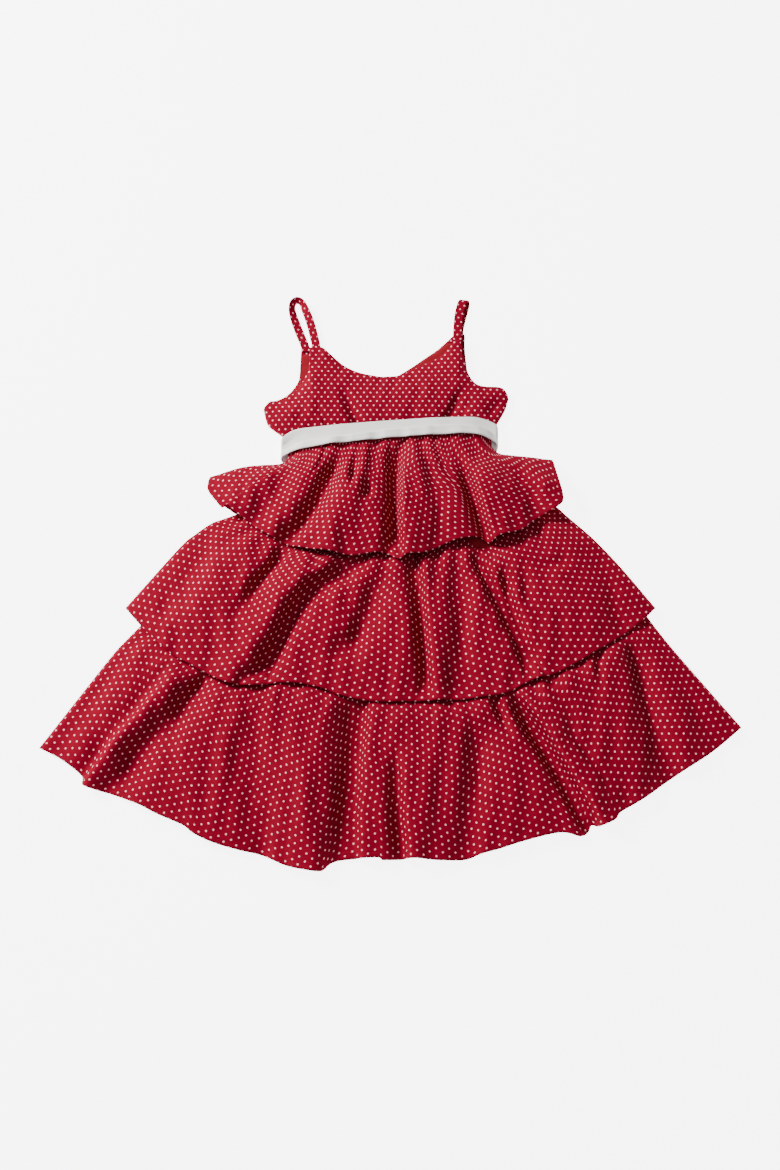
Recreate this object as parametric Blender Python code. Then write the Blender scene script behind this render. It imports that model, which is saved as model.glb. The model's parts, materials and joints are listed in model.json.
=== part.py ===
"""Girl's dress with three gathered tiers, laid flat on a surface with its front up.

The hem points to -Y and the straps to +Y. Every piece of cloth is a closed shell.
It lies on the pieces placed before it, and clears them by a small gap.
Tables give plan points in millimetres. PLAN_SHIFT moves them to the middle of the box.
"""

import math

import bpy
import numpy as np

MM = 0.001
WALL = 1.2  # thickness of a piece of cloth, with its seam allowance
BELT_WALL = 1.5
STRAP_WALL = 1.2
STRAP_WIDTH = 10.4
GAP = 0.35  # space between one piece and the next
CELL = 1.0  # side of one square of the height map
SAMPLE = 0.8  # spacing of the points that test one piece against the map
EDGE_ROUND = 6.0  # how far in from a side seam the cloth turns up
EDGE_SHARE = 0.25  # share of the height that it reaches there
SETTLE = 3.0  # how gently a trough flattens as it nears the surface
LEAST_FOLD = 8.0  # narrowest side of a fold that the grid can carry
PLAN_SHIFT = (1.0, 14.41)
MAP_LOW = (-430.0, -360.0)
MAP_HIGH = (430.0, 390.0)

RED_PRINT = (0.42, 0.010, 0.030, 1.0)
RED_PLAIN = (0.36, 0.012, 0.022, 1.0)
OFF_WHITE = (0.78, 0.76, 0.70, 1.0)

# The belt's band in plan: x, lower edge, upper edge.
BELT_FRONT = (
    (-127.0, 149.5, 170.0),
    (-121.0, 153.0, 178.0),
    (-105.0, 158.0, 184.5),
    (-58.0, 163.5, 189.0),
    (0.0, 169.5, 193.5),
    (58.0, 173.5, 197.5),
    (92.0, 176.0, 198.5),
    (108.0, 174.0, 196.5),
    (120.0, 170.0, 192.0),
    (126.0, 166.5, 188.0),
)
BELT_BACK = (
    (-127.0, 146.0, 171.0),
    (0.0, 152.0, 177.0),
    (126.0, 159.0, 184.0),
)

# Each panel is a patch between a top line, a hem line and two side lines.
# The heights are the panel's own at its top, middle and hem, away from its sides.
# The run-in is how far from a side the panel reaches its full height.
PANELS = {
    "bodice_back": {
        "top": (
            (-147, 212), (-139, 222), (-130, 225), (-120, 231), (-111, 242), (-107, 252),
            (-106, 268), (-104, 291), (-94, 291), (-86, 281), (-70, 269), (-46, 256),
            (-20, 249), (0, 250), (14, 258), (26, 266), (41, 277), (55, 287), (67, 298),
            (78, 308), (88, 308), (88.5, 296), (89, 284), (92, 258), (100, 244), (110, 238),
            (129, 236), (135, 230), (137, 222),
        ),
        "hem": ((-120, 165), (-60, 167), (0, 170), (60, 173), (119, 177)),
        "left": ((-147, 212), (-140, 191), (-124, 177), (-120, 165)),
        "right": ((137, 222), (132, 207), (122, 189), (119, 177)),
        "heights": (0.0, 0.0, 0.0),
        "side": 0.0,
        "run_in": 30.0,
        "upright": True,
        "columns": 30,
        "rows": 4,
    },
    "bodice_back_lining": {
        "top": (
            (-144, 212), (-137, 219), (-129, 223), (-119, 229), (-110, 240), (-105, 251),
            (-104, 268), (-103, 280), (-95, 280), (-87, 276), (-70, 267), (-46, 254),
            (-20, 247), (0, 248), (14, 256), (26, 264), (41, 275), (55, 285), (66, 295),
            (74, 295), (86, 293), (86.5, 289), (87, 284), (91, 257), (99, 243), (110, 236),
            (127, 234), (132, 228), (134, 222),
        ),
        "hem": ((-112, 187), (-60, 188), (0, 190), (60, 192), (112, 195)),
        "left": ((-144, 212), (-136, 196), (-122, 190), (-112, 187)),
        "right": ((134, 222), (129, 208), (120, 199), (112, 195)),
        "heights": (0.0, 0.0, 0.0),
        "side": 0.0,
        "run_in": 30.0,
        "upright": True,
        "columns": 30,
        "rows": 3,
    },
    "tier_1_back": {
        "top": ((-116, 155), (0, 161), (115, 167)),
        "hem": (
            (-205, 123), (-204, 106), (-186, 90), (-140, 62), (-80, 42), (0, 38),
            (60, 42), (110, 56), (150, 68), (186, 92), (191, 118), (184, 143),
        ),
        "left": ((-116, 155), (-117, 146), (-124, 140), (-149, 135), (-205, 123)),
        "right": ((115, 167), (117, 158), (125, 152), (140, 148), (184, 143)),
        "heights": (0.0, 0.0, 0.0),
        "side": 0.0,
        "run_in": 30.0,
        "columns": 22,
        "rows": 4,
    },
    "tier_2_back": {
        "top": ((-168, 75), (-110, 60), (0, 52), (100, 56), (150, 68), (181, 90)),
        "hem": (
            (-296, -30), (-240, -80), (-180, -108), (-110, -110), (0, -128),
            (100, -122), (180, -98), (240, -70), (297, -30),
        ),
        "left": ((-168, 75), (-203, 67), (-296, -30)),
        "right": ((181, 90), (203, 76), (297, -30)),
        "heights": (0.0, 0.0, 0.0),
        "side": 0.0,
        "run_in": 30.0,
        "columns": 24,
        "rows": 4,
    },
    "tier_3_back": {
        "top": ((-272, -52), (-180, -94), (0, -112), (180, -86), (282, -44)),
        "hem": (
            (-384, -187), (-330, -213), (-250, -254), (-160, -290), (-80, -310), (0, -300),
            (90, -296), (180, -274), (250, -250), (310, -214), (386, -166),
        ),
        "left": ((-272, -52), (-295, -69), (-384, -187)),
        "right": ((282, -44), (316, -77), (386, -166)),
        "heights": (0.0, 0.0, 0.0),
        "side": 0.0,
        "run_in": 30.0,
        "columns": 26,
        "rows": 4,
    },
    "underskirt_back": {
        "top": ((-106, 153), (0, 158), (104, 164)),
        "hem": ((-262, -66), (-206, -98), (-160, -112), (0, -132), (120, -122), (200, -94), (272, -56)),
        "left": ((-106, 153), (-112, 140), (-168, 66), (-262, -66)),
        "right": ((104, 164), (110, 150), (176, 70), (272, -56)),
        "heights": (0.0, 0.0, 0.0),
        "side": 0.0,
        "run_in": 30.0,
        "columns": 18,
        "rows": 6,
    },
    "underskirt_front": {
        "top": ((-106, 159), (-58, 166), (0, 174), (58, 179), (104, 175)),
        "hem": ((-262, -66), (-206, -98), (-160, -113), (0, -132), (120, -122), (200, -94), (272, -56)),
        "left": ((-106, 159), (-112, 143), (-168, 66), (-262, -66)),
        "right": ((104, 175), (110, 158), (176, 70), (272, -56)),
        "heights": (5.5, 7.5, 5.0),
        "side": 4.8,
        "run_in": 50.0,
        "columns": 22,
        "rows": 6,
    },
    "tier_3_front": {
        "top": (
            (-280, -46), (-246, -66), (-206, -90), (-160, -105), (-116, -104), (-60, -112),
            (0, -124), (60, -122), (120, -114), (165, -98), (200, -86), (240, -62),
            (272, -44), (290, -36),
        ),
        "hem": (
            (-389, -188), (-365, -200), (-340, -219), (-336, -231), (-308, -239), (-276, -251),
            (-254, -262), (-226, -274), (-214, -283), (-192, -293), (-164, -301), (-140, -306),
            (-115, -317), (-95, -322), (-75, -324), (-64, -315), (-49, -311), (-13, -309),
            (-7, -312), (24, -310), (55, -312), (82, -311), (99, -305), (121, -299),
            (150, -290), (186, -282), (207, -286), (217, -281), (221, -273), (230, -275),
            (246, -268), (252, -260), (278, -245), (311, -222), (355, -194), (391, -165),
        ),
        "left": ((-280, -46), (-298, -66), (-317, -89), (-389, -188)),
        "right": ((290, -36), (318, -75), (391, -165)),
        "heights": (13.0, 19.0, 10.0),
        "side": 1.6,
        "run_in": 75.0,
        "columns": 96,
        "rows": 9,
    },
    "tier_2_front": {
        "top": (
            (-175, 84), (-150, 70), (-122, 58), (-97, 50), (-68, 46), (-40, 43), (0, 42),
            (40, 45), (67, 54), (90, 50), (98, 42), (114, 41), (123, 54), (150, 68),
            (166, 80), (187, 96),
        ),
        "hem": (
            (-300, -28), (-277, -54), (-246, -83), (-224, -96), (-206, -106), (-181, -118),
            (-152, -121), (-116, -117), (-81, -122), (-57, -131), (-25, -138), (3, -139),
            (40, -138), (77, -137), (105, -133), (130, -129), (153, -117), (166, -112),
            (182, -108), (199, -100), (230, -82), (265, -60), (287, -42), (301, -28),
        ),
        "left": ((-175, 84), (-194, 77), (-206, 72), (-225, 58), (-242, 42), (-300, -28)),
        "right": ((187, 96), (195, 90), (205, 80), (234, 53), (265, 18), (301, -28)),
        "heights": (13.0, 23.0, 19.0),
        "side": 1.6,
        "run_in": 70.0,
        "columns": 84,
        "rows": 9,
    },
    "tier_1_front": {
        "top": (
            (-118, 158), (-93, 166), (-58, 170), (0, 178), (58, 183), (88, 185), (105, 182),
            (118, 175),
        ),
        "hem": (
            (-208, 128), (-210, 113), (-207, 105), (-199, 94), (-191, 85), (-186, 89),
            (-174, 79), (-146, 58), (-122, 45), (-97, 37), (-68, 32), (-43, 28), (-23, 31),
            (-5, 32), (9, 24), (19, 28), (40, 31), (67, 44), (84, 49), (102, 51), (114, 45),
            (126, 51), (149, 58), (166, 72), (193, 88), (198, 99), (193, 125), (188, 149),
        ),
        "left": ((-118, 158), (-120, 149), (-128, 143), (-149, 142), (-174, 139), (-208, 128)),
        "right": ((118, 175), (119, 164), (127, 156), (140, 154), (163, 152), (188, 149)),
        "heights": (10.5, 27.0, 24.0),
        "side": 3.4,
        "run_in": 60.0,
        "columns": 72,
        "rows": 9,
    },
    "bodice_front": {
        "top": (
            (-148, 211), (-146, 215), (-139, 221), (-128, 219), (-120, 224), (-112, 231),
            (-104, 242), (-98, 254), (-95, 266), (-94, 287), (-82, 289), (-71, 280),
            (-58, 268), (-46, 260), (-24, 253), (-5, 251), (12, 253), (26, 259), (40, 266),
            (56, 274), (69, 285), (76, 296), (83, 296), (85, 281), (92, 255), (100, 243),
            (110, 239), (130, 238), (137, 231), (139, 224),
        ),
        "hem": (
            (-122, 171), (-105, 178), (-58, 182), (0, 187), (58, 190), (92, 190),
            (108, 187), (121, 181),
        ),
        "left": ((-148, 211), (-142, 191), (-125, 178), (-122, 171)),
        "right": ((139, 224), (134, 209), (124, 191), (121, 181)),
        "heights": (7.5, 14.0, 9.5),
        "side": 3.4,
        "run_in": 38.0,
        "upright": True,
        "columns": 50,
        "rows": 7,
    },
}

# One row a fold: its line in plan, its height, its width to the west and east of
# the line, and the share of its length over which it fades at its start and end.
FOLDS = {
    "tier_1_front": (
        ("centre pleat crest", ((18, 168), (18, 130), (17, 90), (19, 14)), 8.0, 4.5, 24.0, 0.25, 0.0),
        ("centre pleat trough", ((8, 166), (8, 130), (6, 90), (9, 14)), -15.0, 13.0, 4.5, 0.15, 0.0),
        ("right pleat crest", ((88, 150), (97, 120), (109, 84), (122, 40)), 7.0, 4.5, 28.0, 0.35, 0.0),
        ("right pleat trough", ((81, 146), (90, 120), (102, 84), (114, 38)), -12.0, 13.0, 4.5, 0.30, 0.0),
        ("left trough", ((-58, 152), (-66, 132), (-84, 90), (-123, 38)), -14.0, 12.0, 9.0, 0.20, 0.0),
        ("left ridge", ((-40, 148), (-46, 125), (-54, 90), (-76, 26)), 7.0, 13.0, 16.0, 0.20, 0.0),
        ("small trough one", ((-42, 150), (-41, 134), (-42, 116)), -5.0, 5.0, 5.0, 0.3, 0.4),
        ("small trough two", ((-31, 120), (-25, 108), (-20, 94)), -5.0, 5.0, 5.0, 0.4, 0.4),
        ("far left trough", ((-104, 142), (-122, 116), (-166, 54)), -8.0, 16.0, 14.0, 0.35, 0.0),
        ("soft centre trough", ((44, 158), (55, 110), (60, 30)), -2.5, 12.0, 12.0, 0.3, 0.0),
        ("far right trough", ((134, 148), (152, 120), (172, 62)), -7.0, 14.0, 13.0, 0.3, 0.0),
        ("far right ridge", ((150, 150), (178, 120), (190, 100)), 4.0, 12.0, 12.0, 0.3, 0.3),
    ),
    "tier_2_front": (
        ("left trough", ((-118, 54), (-135, 24), (-152, -4), (-182, -52)), -8.5, 11.0, 10.0, 0.15, 0.4),
        ("hook trough", ((-34, 30), (-60, 10), (-90, -6), (-108, -26), (-134, -76), (-166, -128)), -19.0, 10.0, 12.0, 0.16, 0.12),
        ("hook ridge", ((-48, 34), (-84, 14), (-116, -14), (-150, -70), (-186, -124)), 7.0, 16.0, 12.0, 0.3, 0.0),
        ("inner trough", ((-18, 18), (-19, -18), (-36, -64), (-74, -94)), -11.0, 13.0, 14.0, 0.25, 0.3),
        ("centre crease", ((25, 40), (31, 0), (35, -50), (41, -146)), -11.0, 9.0, 4.5, 0.1, 0.0),
        ("centre ridge", ((36, 40), (43, 0), (47, -50), (53, -146)), 5.0, 8.0, 16.0, 0.1, 0.0),
        ("right crease one", ((88, 36), (108, -8), (129, -42), (142, -68), (162, -124)), -16.0, 12.0, 6.0, 0.15, 0.0),
        ("right crease two", ((124, 24), (134, -20), (145, -48), (156, -82), (172, -122)), -10.0, 8.0, 6.0, 0.2, 0.2),
        ("right ridge", ((112, 30), (124, -12), (138, -44), (152, -78), (168, -118)), 5.0, 8.0, 8.0, 0.2, 0.1),
        ("left side trough", ((-196, 66), (-222, 22), (-262, -48)), -7.0, 15.0, 15.0, 0.3, 0.1),
        ("soft trough", ((66, 40), (78, -30), (86, -146)), -5.0, 14.0, 13.0, 0.3, 0.0),
        ("right side trough", ((222, 52), (246, 2), (266, -66)), -7.0, 16.0, 16.0, 0.3, 0.0),
        ("right wrinkle", ((160, 14), (188, 21), (212, 25)), -4.0, 6.0, 6.0, 0.4, 0.4),
        ("short crease", ((148, 30), (152, -2), (154, -36)), -4.0, 6.0, 6.0, 0.3, 0.4),
    ),
    "tier_3_front": (
        ("left pleat crest", ((-226, -92), (-262, -136), (-304, -186), (-341, -240)), 5.5, 6.0, 18.0, 0.3, 0.0),
        ("left pleat trough", ((-240, -82), (-274, -130), (-314, -182), (-352, -236)), -6.0, 12.0, 7.0, 0.2, 0.0),
        ("broad trough", ((-198, -96), (-222, -134), (-272, -190), (-320, -246)), -12.0, 16.0, 20.0, 0.15, 0.05),
        ("soft trough", ((-156, -140), (-152, -205), (-142, -318)), -8.0, 17.0, 17.0, 0.3, 0.0),
        ("left bulge", ((-100, -150), (-90, -230), (-84, -336)), 6.0, 18.0, 16.0, 0.4, 0.0),
        ("main trough", ((-34, -122), (-38, -170), (-40, -220), (-46, -322)), -22.0, 18.0, 8.0, 0.15, 0.0),
        ("centre crease", ((4, -180), (9, -245), (14, -322)), -10.0, 11.0, 4.5, 0.3, 0.0),
        ("centre crest", ((16, -176), (21, -245), (25, -322)), 5.0, 7.0, 18.0, 0.3, 0.0),
        ("soft right trough", ((98, -150), (92, -205), (80, -318)), -10.0, 12.0, 14.0, 0.25, 0.0),
        ("upper crease", ((110, -122), (122, -152), (138, -186)), -5.0, 6.0, 6.0, 0.2, 0.4),
        ("diagonal trough", ((126, -124), (148, -162), (176, -206), (194, -240), (222, -286)), -20.0, 14.0, 7.0, 0.15, 0.0),
        ("diagonal ridge", ((142, -118), (170, -166), (198, -208), (214, -236), (244, -280)), 7.0, 10.0, 18.0, 0.25, 0.0),
        ("thin crease", ((231, -66), (233, -100), (234, -136)), -4.0, 5.0, 5.0, 0.2, 0.5),
        ("right trough", ((272, -52), (284, -110), (292, -160), (312, -232)), -12.0, 17.0, 13.0, 0.2, 0.0),
        ("far right trough", ((312, -90), (338, -140), (372, -200)), -5.0, 12.0, 12.0, 0.3, 0.0),
        ("far left trough", ((-300, -84), (-330, -130), (-372, -196)), -5.0, 12.0, 12.0, 0.3, 0.0),
    ),
    "bodice_front": (
        ("left dart crease", ((-61, 246), (-50, 222), (-36, 188)), -7.0, 9.0, 6.0, 0.6, 0.0),
        ("right dart crease", ((90, 246), (80, 224), (65, 192)), -7.0, 6.0, 9.0, 0.6, 0.0),
        ("right side crease", ((134, 226), (124, 214), (112, 198)), -4.0, 6.0, 6.0, 0.4, 0.2),
        ("left side crease", ((-118, 206), (-104, 198), (-88, 186)), -4.0, 6.0, 6.0, 0.4, 0.0),
        ("inner crease", ((98, 226), (88, 210), (80, 192)), -4.0, 5.0, 5.0, 0.5, 0.0),
    ),
}

# Gathers fade away from the top line: how many, how high, and how far down they reach.
GATHERS = {
    "tier_1_front": (11, 1.4, 0.40),
    "tier_2_front": (17, 1.4, 0.35),
    "tier_3_front": (22, 1.6, 0.35),
}

# One row a station: centre x, y, z, then the plan angle and the tilt of the strap's width.
STRAPS = {
    "strap_left": (
        (-87.0, 276.0, 4.2, 0.0, 0.0),
        (-87.0, 289.0, 4.2, 0.0, 0.0),
        (-90.5, 306.0, 4.3, 5.0, 6.0),
        (-95.5, 324.0, 4.7, 11.0, 15.0),
        (-101.0, 338.0, 5.4, 24.0, 34.0),
        (-105.0, 346.0, 6.2, 55.0, 52.0),
        (-110.5, 349.0, 6.4, 95.0, 60.0),
        (-115.5, 345.0, 6.2, 140.0, 50.0),
        (-116.0, 336.0, 5.2, 170.0, 30.0),
        (-112.5, 323.0, 3.6, 186.0, 12.0),
        (-106.5, 307.0, 2.4, 188.0, 3.0),
        (-100.6, 292.0, 2.2, 182.0, 0.0),
        (-99.6, 285.0, 2.2, 180.0, 0.0),
    ),
    "strap_right": (
        (79.0, 284.0, 4.6, 0.0, 0.0),
        (79.5, 297.0, 4.6, 0.0, 0.0),
        (80.0, 312.0, 4.6, -2.0, 0.0),
        (81.5, 329.0, 4.7, -6.0, 0.0),
        (84.5, 343.0, 4.7, -10.0, 0.0),
        (87.0, 349.4, 4.2, -8.0, 0.0),
        (88.8, 350.4, 3.1, -2.0, 0.0),
        (89.6, 348.6, 2.0, 4.0, 0.0),
        (89.6, 342.0, 1.4, 10.0, 0.0),
        (86.0, 328.0, 1.1, 10.0, 0.0),
        (82.6, 314.0, 1.6, 5.0, 0.0),
        (81.8, 306.0, 2.2, 2.0, 0.0),
        (81.4, 300.5, 2.2, 0.0, 0.0),
    ),
}
STRAP_STEPS = 34
STRAP_TUCK = 7  # stations at each end that other pieces cover


def clear_scene():
    """Removes everything that the startup scene holds."""
    for obj in list(bpy.data.objects):
        bpy.data.objects.remove(obj)
    for collection in list(bpy.data.collections):
        bpy.data.collections.remove(collection)
    bpy.context.scene.collection.children.link(bpy.data.collections.new("tiered_party_dress"))


def smooth_step(share):
    """A ramp from nought to one that starts and ends level."""
    share = np.clip(share, 0.0, 1.0)
    return share * share * (3.0 - 2.0 * share)


def curve(table, count):
    """Points of a Catmull-Rom curve through the table's rows, count of them, spaced evenly by length."""
    knots = np.asarray(table, float)
    ends = np.vstack([2 * knots[0] - knots[1], knots, 2 * knots[-1] - knots[-2]])
    steps = np.linspace(0.0, 1.0, 9)[:-1, None]
    spans = []
    for p0, p1, p2, p3 in zip(ends[:-3], ends[1:-2], ends[2:-1], ends[3:]):
        linear = (p2 - p0) * steps
        square = (2 * p0 - 5 * p1 + 4 * p2 - p3) * steps**2
        cube = (3 * p1 - p0 - 3 * p2 + p3) * steps**3
        spans.append(0.5 * (2 * p1 + linear + square + cube))
    fine = np.vstack(spans + [knots[-1:]])
    return spaced(fine, np.linspace(0.0, 1.0, count))


def spaced(line, shares):
    """Points of a polyline at the given shares of its length."""
    line = np.asarray(line, float)
    sides = np.linalg.norm(np.diff(line[:, :2], axis=0), axis=1)
    reach = np.concatenate([[0.0], np.cumsum(sides)])
    where = np.asarray(shares) * reach[-1]
    return np.column_stack([np.interp(where, reach, line[:, k]) for k in range(line.shape[1])])


def patch(panel):
    """Plan points of a panel: a Coons patch between its four lines, and each point's two shares."""
    across = np.linspace(0.0, 1.0, panel["columns"] + 1)
    down = np.linspace(0.0, 1.0, panel["rows"] + 1)
    top = spaced(panel["top"], across)
    hem = spaced(panel["hem"], across)
    if panel.get("upright"):
        low, high = top[0, 0], top[-1, 0]
        place = (top[:, 0] - low) / (high - low)
        hem = spaced(panel["hem"], place)
    left = curve(panel["left"], len(down))
    right = curve(panel["right"], len(down))
    u, v = np.meshgrid(across, down)
    u, v = u[..., None], v[..., None]
    ruled = (1 - v) * top[None] + v * hem[None] + (1 - u) * left[:, None] + u * right[:, None]
    corners = (1 - u) * (1 - v) * top[0] + u * (1 - v) * top[-1] + (1 - u) * v * hem[0] + u * v * hem[-1]
    plan = ruled - corners
    return plan[..., 0], plan[..., 1], u[..., 0], v[..., 0]


def fold_heights(x, y, folds):
    """Sum of the folds: each is a bell across its line, with a width for each side, that fades at its ends."""
    total = np.zeros(x.size)
    for _, table, height, west, east, fade_in, fade_out in folds:
        line = curve(table, 25)
        start, side = line[:-1], np.diff(line, axis=0)
        length = np.linalg.norm(side, axis=1)
        reach = np.concatenate([[0.0], np.cumsum(length)])
        off_x = x.reshape(-1, 1) - start[:, 0]
        off_y = y.reshape(-1, 1) - start[:, 1]
        share = np.clip((off_x * side[:, 0] + off_y * side[:, 1]) / length**2, 0.0, 1.0)
        off_x = off_x - share * side[:, 0]
        off_y = off_y - share * side[:, 1]
        square = off_x**2 + off_y**2
        near = square.argmin(axis=1)
        row = np.arange(x.size)
        turn = off_y[row, near] * side[near, 0] - off_x[row, near] * side[near, 1]
        width = np.maximum(np.where(turn > 0, east, west), LEAST_FOLD)
        place = (reach[near] + share[row, near] * length[near]) / reach[-1]
        fade = smooth_step(place / fade_in) if fade_in else 1.0
        if fade_out:
            fade = fade * smooth_step((1.0 - place) / fade_out)
        total += height * fade * np.exp(-square[row, near] / width**2)
    return total.reshape(x.shape)


def gather_heights(u, v, name):
    """Waves across the panel that fade below its top line, each a little unlike the next."""
    if name not in GATHERS:
        return np.zeros_like(u)
    count, height, reach = GATHERS[name]
    wander = 0.8 * np.sin(7.0 * u + 1.3) + 0.5 * np.sin(17.0 * u + 0.4)
    wave = np.sin(2 * math.pi * count * u + 2.2 * wander)
    return height * wave * np.exp(-((v / reach) ** 2))


def side_rise(panel, x, y, u):
    """Share of its height that a panel has at each point: a round edge at the side seams, then a slope."""
    width = np.hypot(x[:, -1] - x[:, 0], y[:, -1] - y[:, 0])[:, None]
    inward = np.minimum(u, 1 - u) * width
    edge = np.sqrt(1.0 - (1.0 - np.clip(inward / EDGE_ROUND, 0.0, 1.0)) ** 2)
    slope = np.sin(0.5 * math.pi * np.clip(inward / panel["run_in"], 0.0, 1.0))
    return EDGE_SHARE * edge + (1 - EDGE_SHARE) * slope


def panel_heights(name, x, y, u, v):
    """Height of a panel's underside before it is laid: level, folded, and let down at its sides."""
    panel = PANELS[name]
    top, middle, hem = panel["heights"]
    level = top * (1 - v) * (1 - 2 * v) + 4 * middle * v * (1 - v) + hem * v * (2 * v - 1)
    if level.any():
        level = level + fold_heights(x, y, FOLDS.get(name, ())) + gather_heights(u, v, name)
        level = SETTLE * np.logaddexp(0.0, level / SETTLE)
    return panel["side"] + (level - panel["side"]) * side_rise(panel, x, y, u)


def grid_triangles(rows, columns):
    """Triangles of a grid of points, two for each square."""
    first = (np.arange(rows)[:, None] * (columns + 1) + np.arange(columns)).ravel()
    after = first + columns + 1
    lower = np.column_stack([first, after, after + 1])
    upper = np.column_stack([first, after + 1, first + 1])
    return np.vstack([lower, upper])


class Pile:
    """The top of everything laid so far, as a map of heights in plan."""

    def __init__(self):
        shape = [int((high - low) / CELL) + 1 for low, high in zip(MAP_LOW, MAP_HIGH)]
        self.height = np.full(shape, -GAP)

    def cells(self, x, y):
        return (
            ((x - MAP_LOW[0]) / CELL).astype(int),
            ((y - MAP_LOW[1]) / CELL).astype(int),
        )

    def raise_to(self, x, y, z):
        """Raises the map to the points given."""
        np.maximum.at(self.height, self.cells(x, y), z)

    def around(self):
        """The map with every cell at the highest of its neighbours."""
        high = self.height.copy()
        for axis in (0, 1):
            before = np.roll(high, 1, axis)
            after = np.roll(high, -1, axis)
            high = np.maximum(high, np.maximum(before, after))
        return high


def weights_for(points, triangles):
    """Barycentric weights that put a test point every SAMPLE along the longest side."""
    sides = points[triangles] - points[np.roll(triangles, 1, axis=1)]
    steps = int(np.ceil(np.linalg.norm(sides, axis=2).max() / SAMPLE))
    a, b = np.meshgrid(np.arange(steps + 1), np.arange(steps + 1))
    inside = a + b <= steps
    a, b = a[inside] / steps, b[inside] / steps
    return np.column_stack([1 - a - b, a, b])


def lay(pile, x, y, low, triangles):
    """Lifts the points of a piece until every test point clears the pile."""
    points = np.column_stack([x.ravel(), y.ravel()])
    weights = weights_for(points, triangles)
    place = points[triangles]
    test_x = np.einsum("sk,mk->ms", weights, place[..., 0])
    test_y = np.einsum("sk,mk->ms", weights, place[..., 1])
    floor = pile.around()[pile.cells(test_x, test_y)] + GAP
    low = np.maximum(low.ravel(), 0.0)
    share = weights / (weights**2).sum(axis=1, keepdims=True)
    for _ in range(8):
        lack = floor - low[triangles] @ weights.T
        lack[lack < 1e-4] = 0.0
        if not lack.any():
            break
        lift = np.zeros_like(low)
        np.maximum.at(lift, triangles, (lack[:, :, None] * share[None]).max(axis=1))
        low = low + lift
    lack = (floor - low[triangles] @ weights.T).max(axis=1)
    lift = np.zeros_like(low)
    np.maximum.at(lift, triangles, np.maximum(lack, 0.0)[:, None])
    return low + lift, test_x, test_y, weights


def thickness(x, y, low, triangles, wall):
    """Upright thickness that gives the wall its size square to the slope, up to a steep slope."""
    points = np.column_stack([x.ravel(), y.ravel(), low])
    corners = points[triangles]
    normals = np.cross(corners[:, 1] - corners[:, 0], corners[:, 2] - corners[:, 0])
    normals *= np.sign(normals[:, 2:3])
    total = np.zeros_like(points)
    for k in range(3):
        np.add.at(total, triangles[:, k], normals)
    upright = total[:, 2] / np.linalg.norm(total, axis=1)
    return wall / np.maximum(upright, 0.5)


def edge_loops(rows, columns):
    """Points round a grid's border, in order."""
    grid = np.arange((rows + 1) * (columns + 1)).reshape(rows + 1, columns + 1)
    return np.concatenate([grid[:, 0], grid[-1, 1:], grid[-2::-1, -1], grid[0, -2:0:-1]])


def make_mesh(name, points, faces, colour, roughness):
    """Adds a mesh object from points in millimetres, with its own cloth material."""
    points = np.asarray(points, float) - np.array([PLAN_SHIFT[0], PLAN_SHIFT[1], 0.0])
    mesh = bpy.data.meshes.new(name)
    mesh.from_pydata((points * MM).tolist(), [], [list(map(int, face)) for face in faces])
    mesh.validate()
    obj = bpy.data.objects.new(name, mesh)
    bpy.data.collections["tiered_party_dress"].objects.link(obj)
    material = bpy.data.materials.new(name + "_cloth")
    material.use_nodes = True
    shader = material.node_tree.nodes["Principled BSDF"]
    shader.inputs["Base Color"].default_value = colour
    shader.inputs["Roughness"].default_value = roughness
    material.diffuse_color = colour
    mesh.materials.append(material)
    return obj


def close_shell(low, high, triangles, border):
    """Faces of a closed shell: the upper points' triangles, the lower ones turned over, and a rim."""
    count = len(low)
    corners = low[triangles]
    upward = np.cross(corners[:, 1] - corners[:, 0], corners[:, 2] - corners[:, 0])[:, 2] > 0
    up = np.where(upward[:, None], triangles, triangles[:, ::-1])
    after = np.roll(border, -1)
    rim = np.vstack(
        [
            np.column_stack([border, after, after + count]),
            np.column_stack([border, after + count, border + count]),
        ]
    )
    plan = low[border]
    area = np.sum(plan[:, 0] * np.roll(plan[:, 1], -1) - np.roll(plan[:, 0], -1) * plan[:, 1])
    if area < 0:
        rim = rim[:, ::-1]
    return np.vstack([low, high]), np.vstack([up + count, up[:, ::-1], rim])


def lay_panel(pile, name, colour):
    """Makes one panel, lays it on the pile and adds it to the pile."""
    panel = PANELS[name]
    x, y, u, v = patch(panel)
    triangles = grid_triangles(panel["rows"], panel["columns"])
    design = panel_heights(name, x, y, u, v)
    low, test_x, test_y, weights = lay(pile, x, y, design, triangles)
    high = low + thickness(x, y, low, triangles, WALL)
    pile.raise_to(test_x, test_y, high[triangles] @ weights.T)
    flat = np.column_stack([x.ravel(), y.ravel()])
    border = edge_loops(panel["rows"], panel["columns"])
    points, faces = close_shell(
        np.column_stack([flat, low]), np.column_stack([flat, high]), triangles, border
    )
    return make_mesh(name, points, faces, colour, 0.8)


def strap_sections(name):
    """Corners of the strap's cross-section at each station along its line."""
    rows = curve(STRAPS[name], STRAP_STEPS + 1)
    centre = rows[:, :3]
    turn = np.radians(rows[:, 3])
    tilt = np.radians(rows[:, 4])
    across = np.column_stack(
        [np.cos(turn) * np.cos(tilt), np.sin(turn) * np.cos(tilt), np.sin(tilt)]
    )
    forward = np.gradient(centre, axis=0)
    forward -= (forward * across).sum(axis=1, keepdims=True) * across
    forward /= np.linalg.norm(forward, axis=1, keepdims=True)
    normal = np.cross(across, forward)
    half, deep = across * STRAP_WIDTH / 2, normal * STRAP_WALL / 2
    return np.stack(
        [centre - half - deep, centre + half - deep, centre + half + deep, centre - half + deep], axis=1
    )


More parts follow.
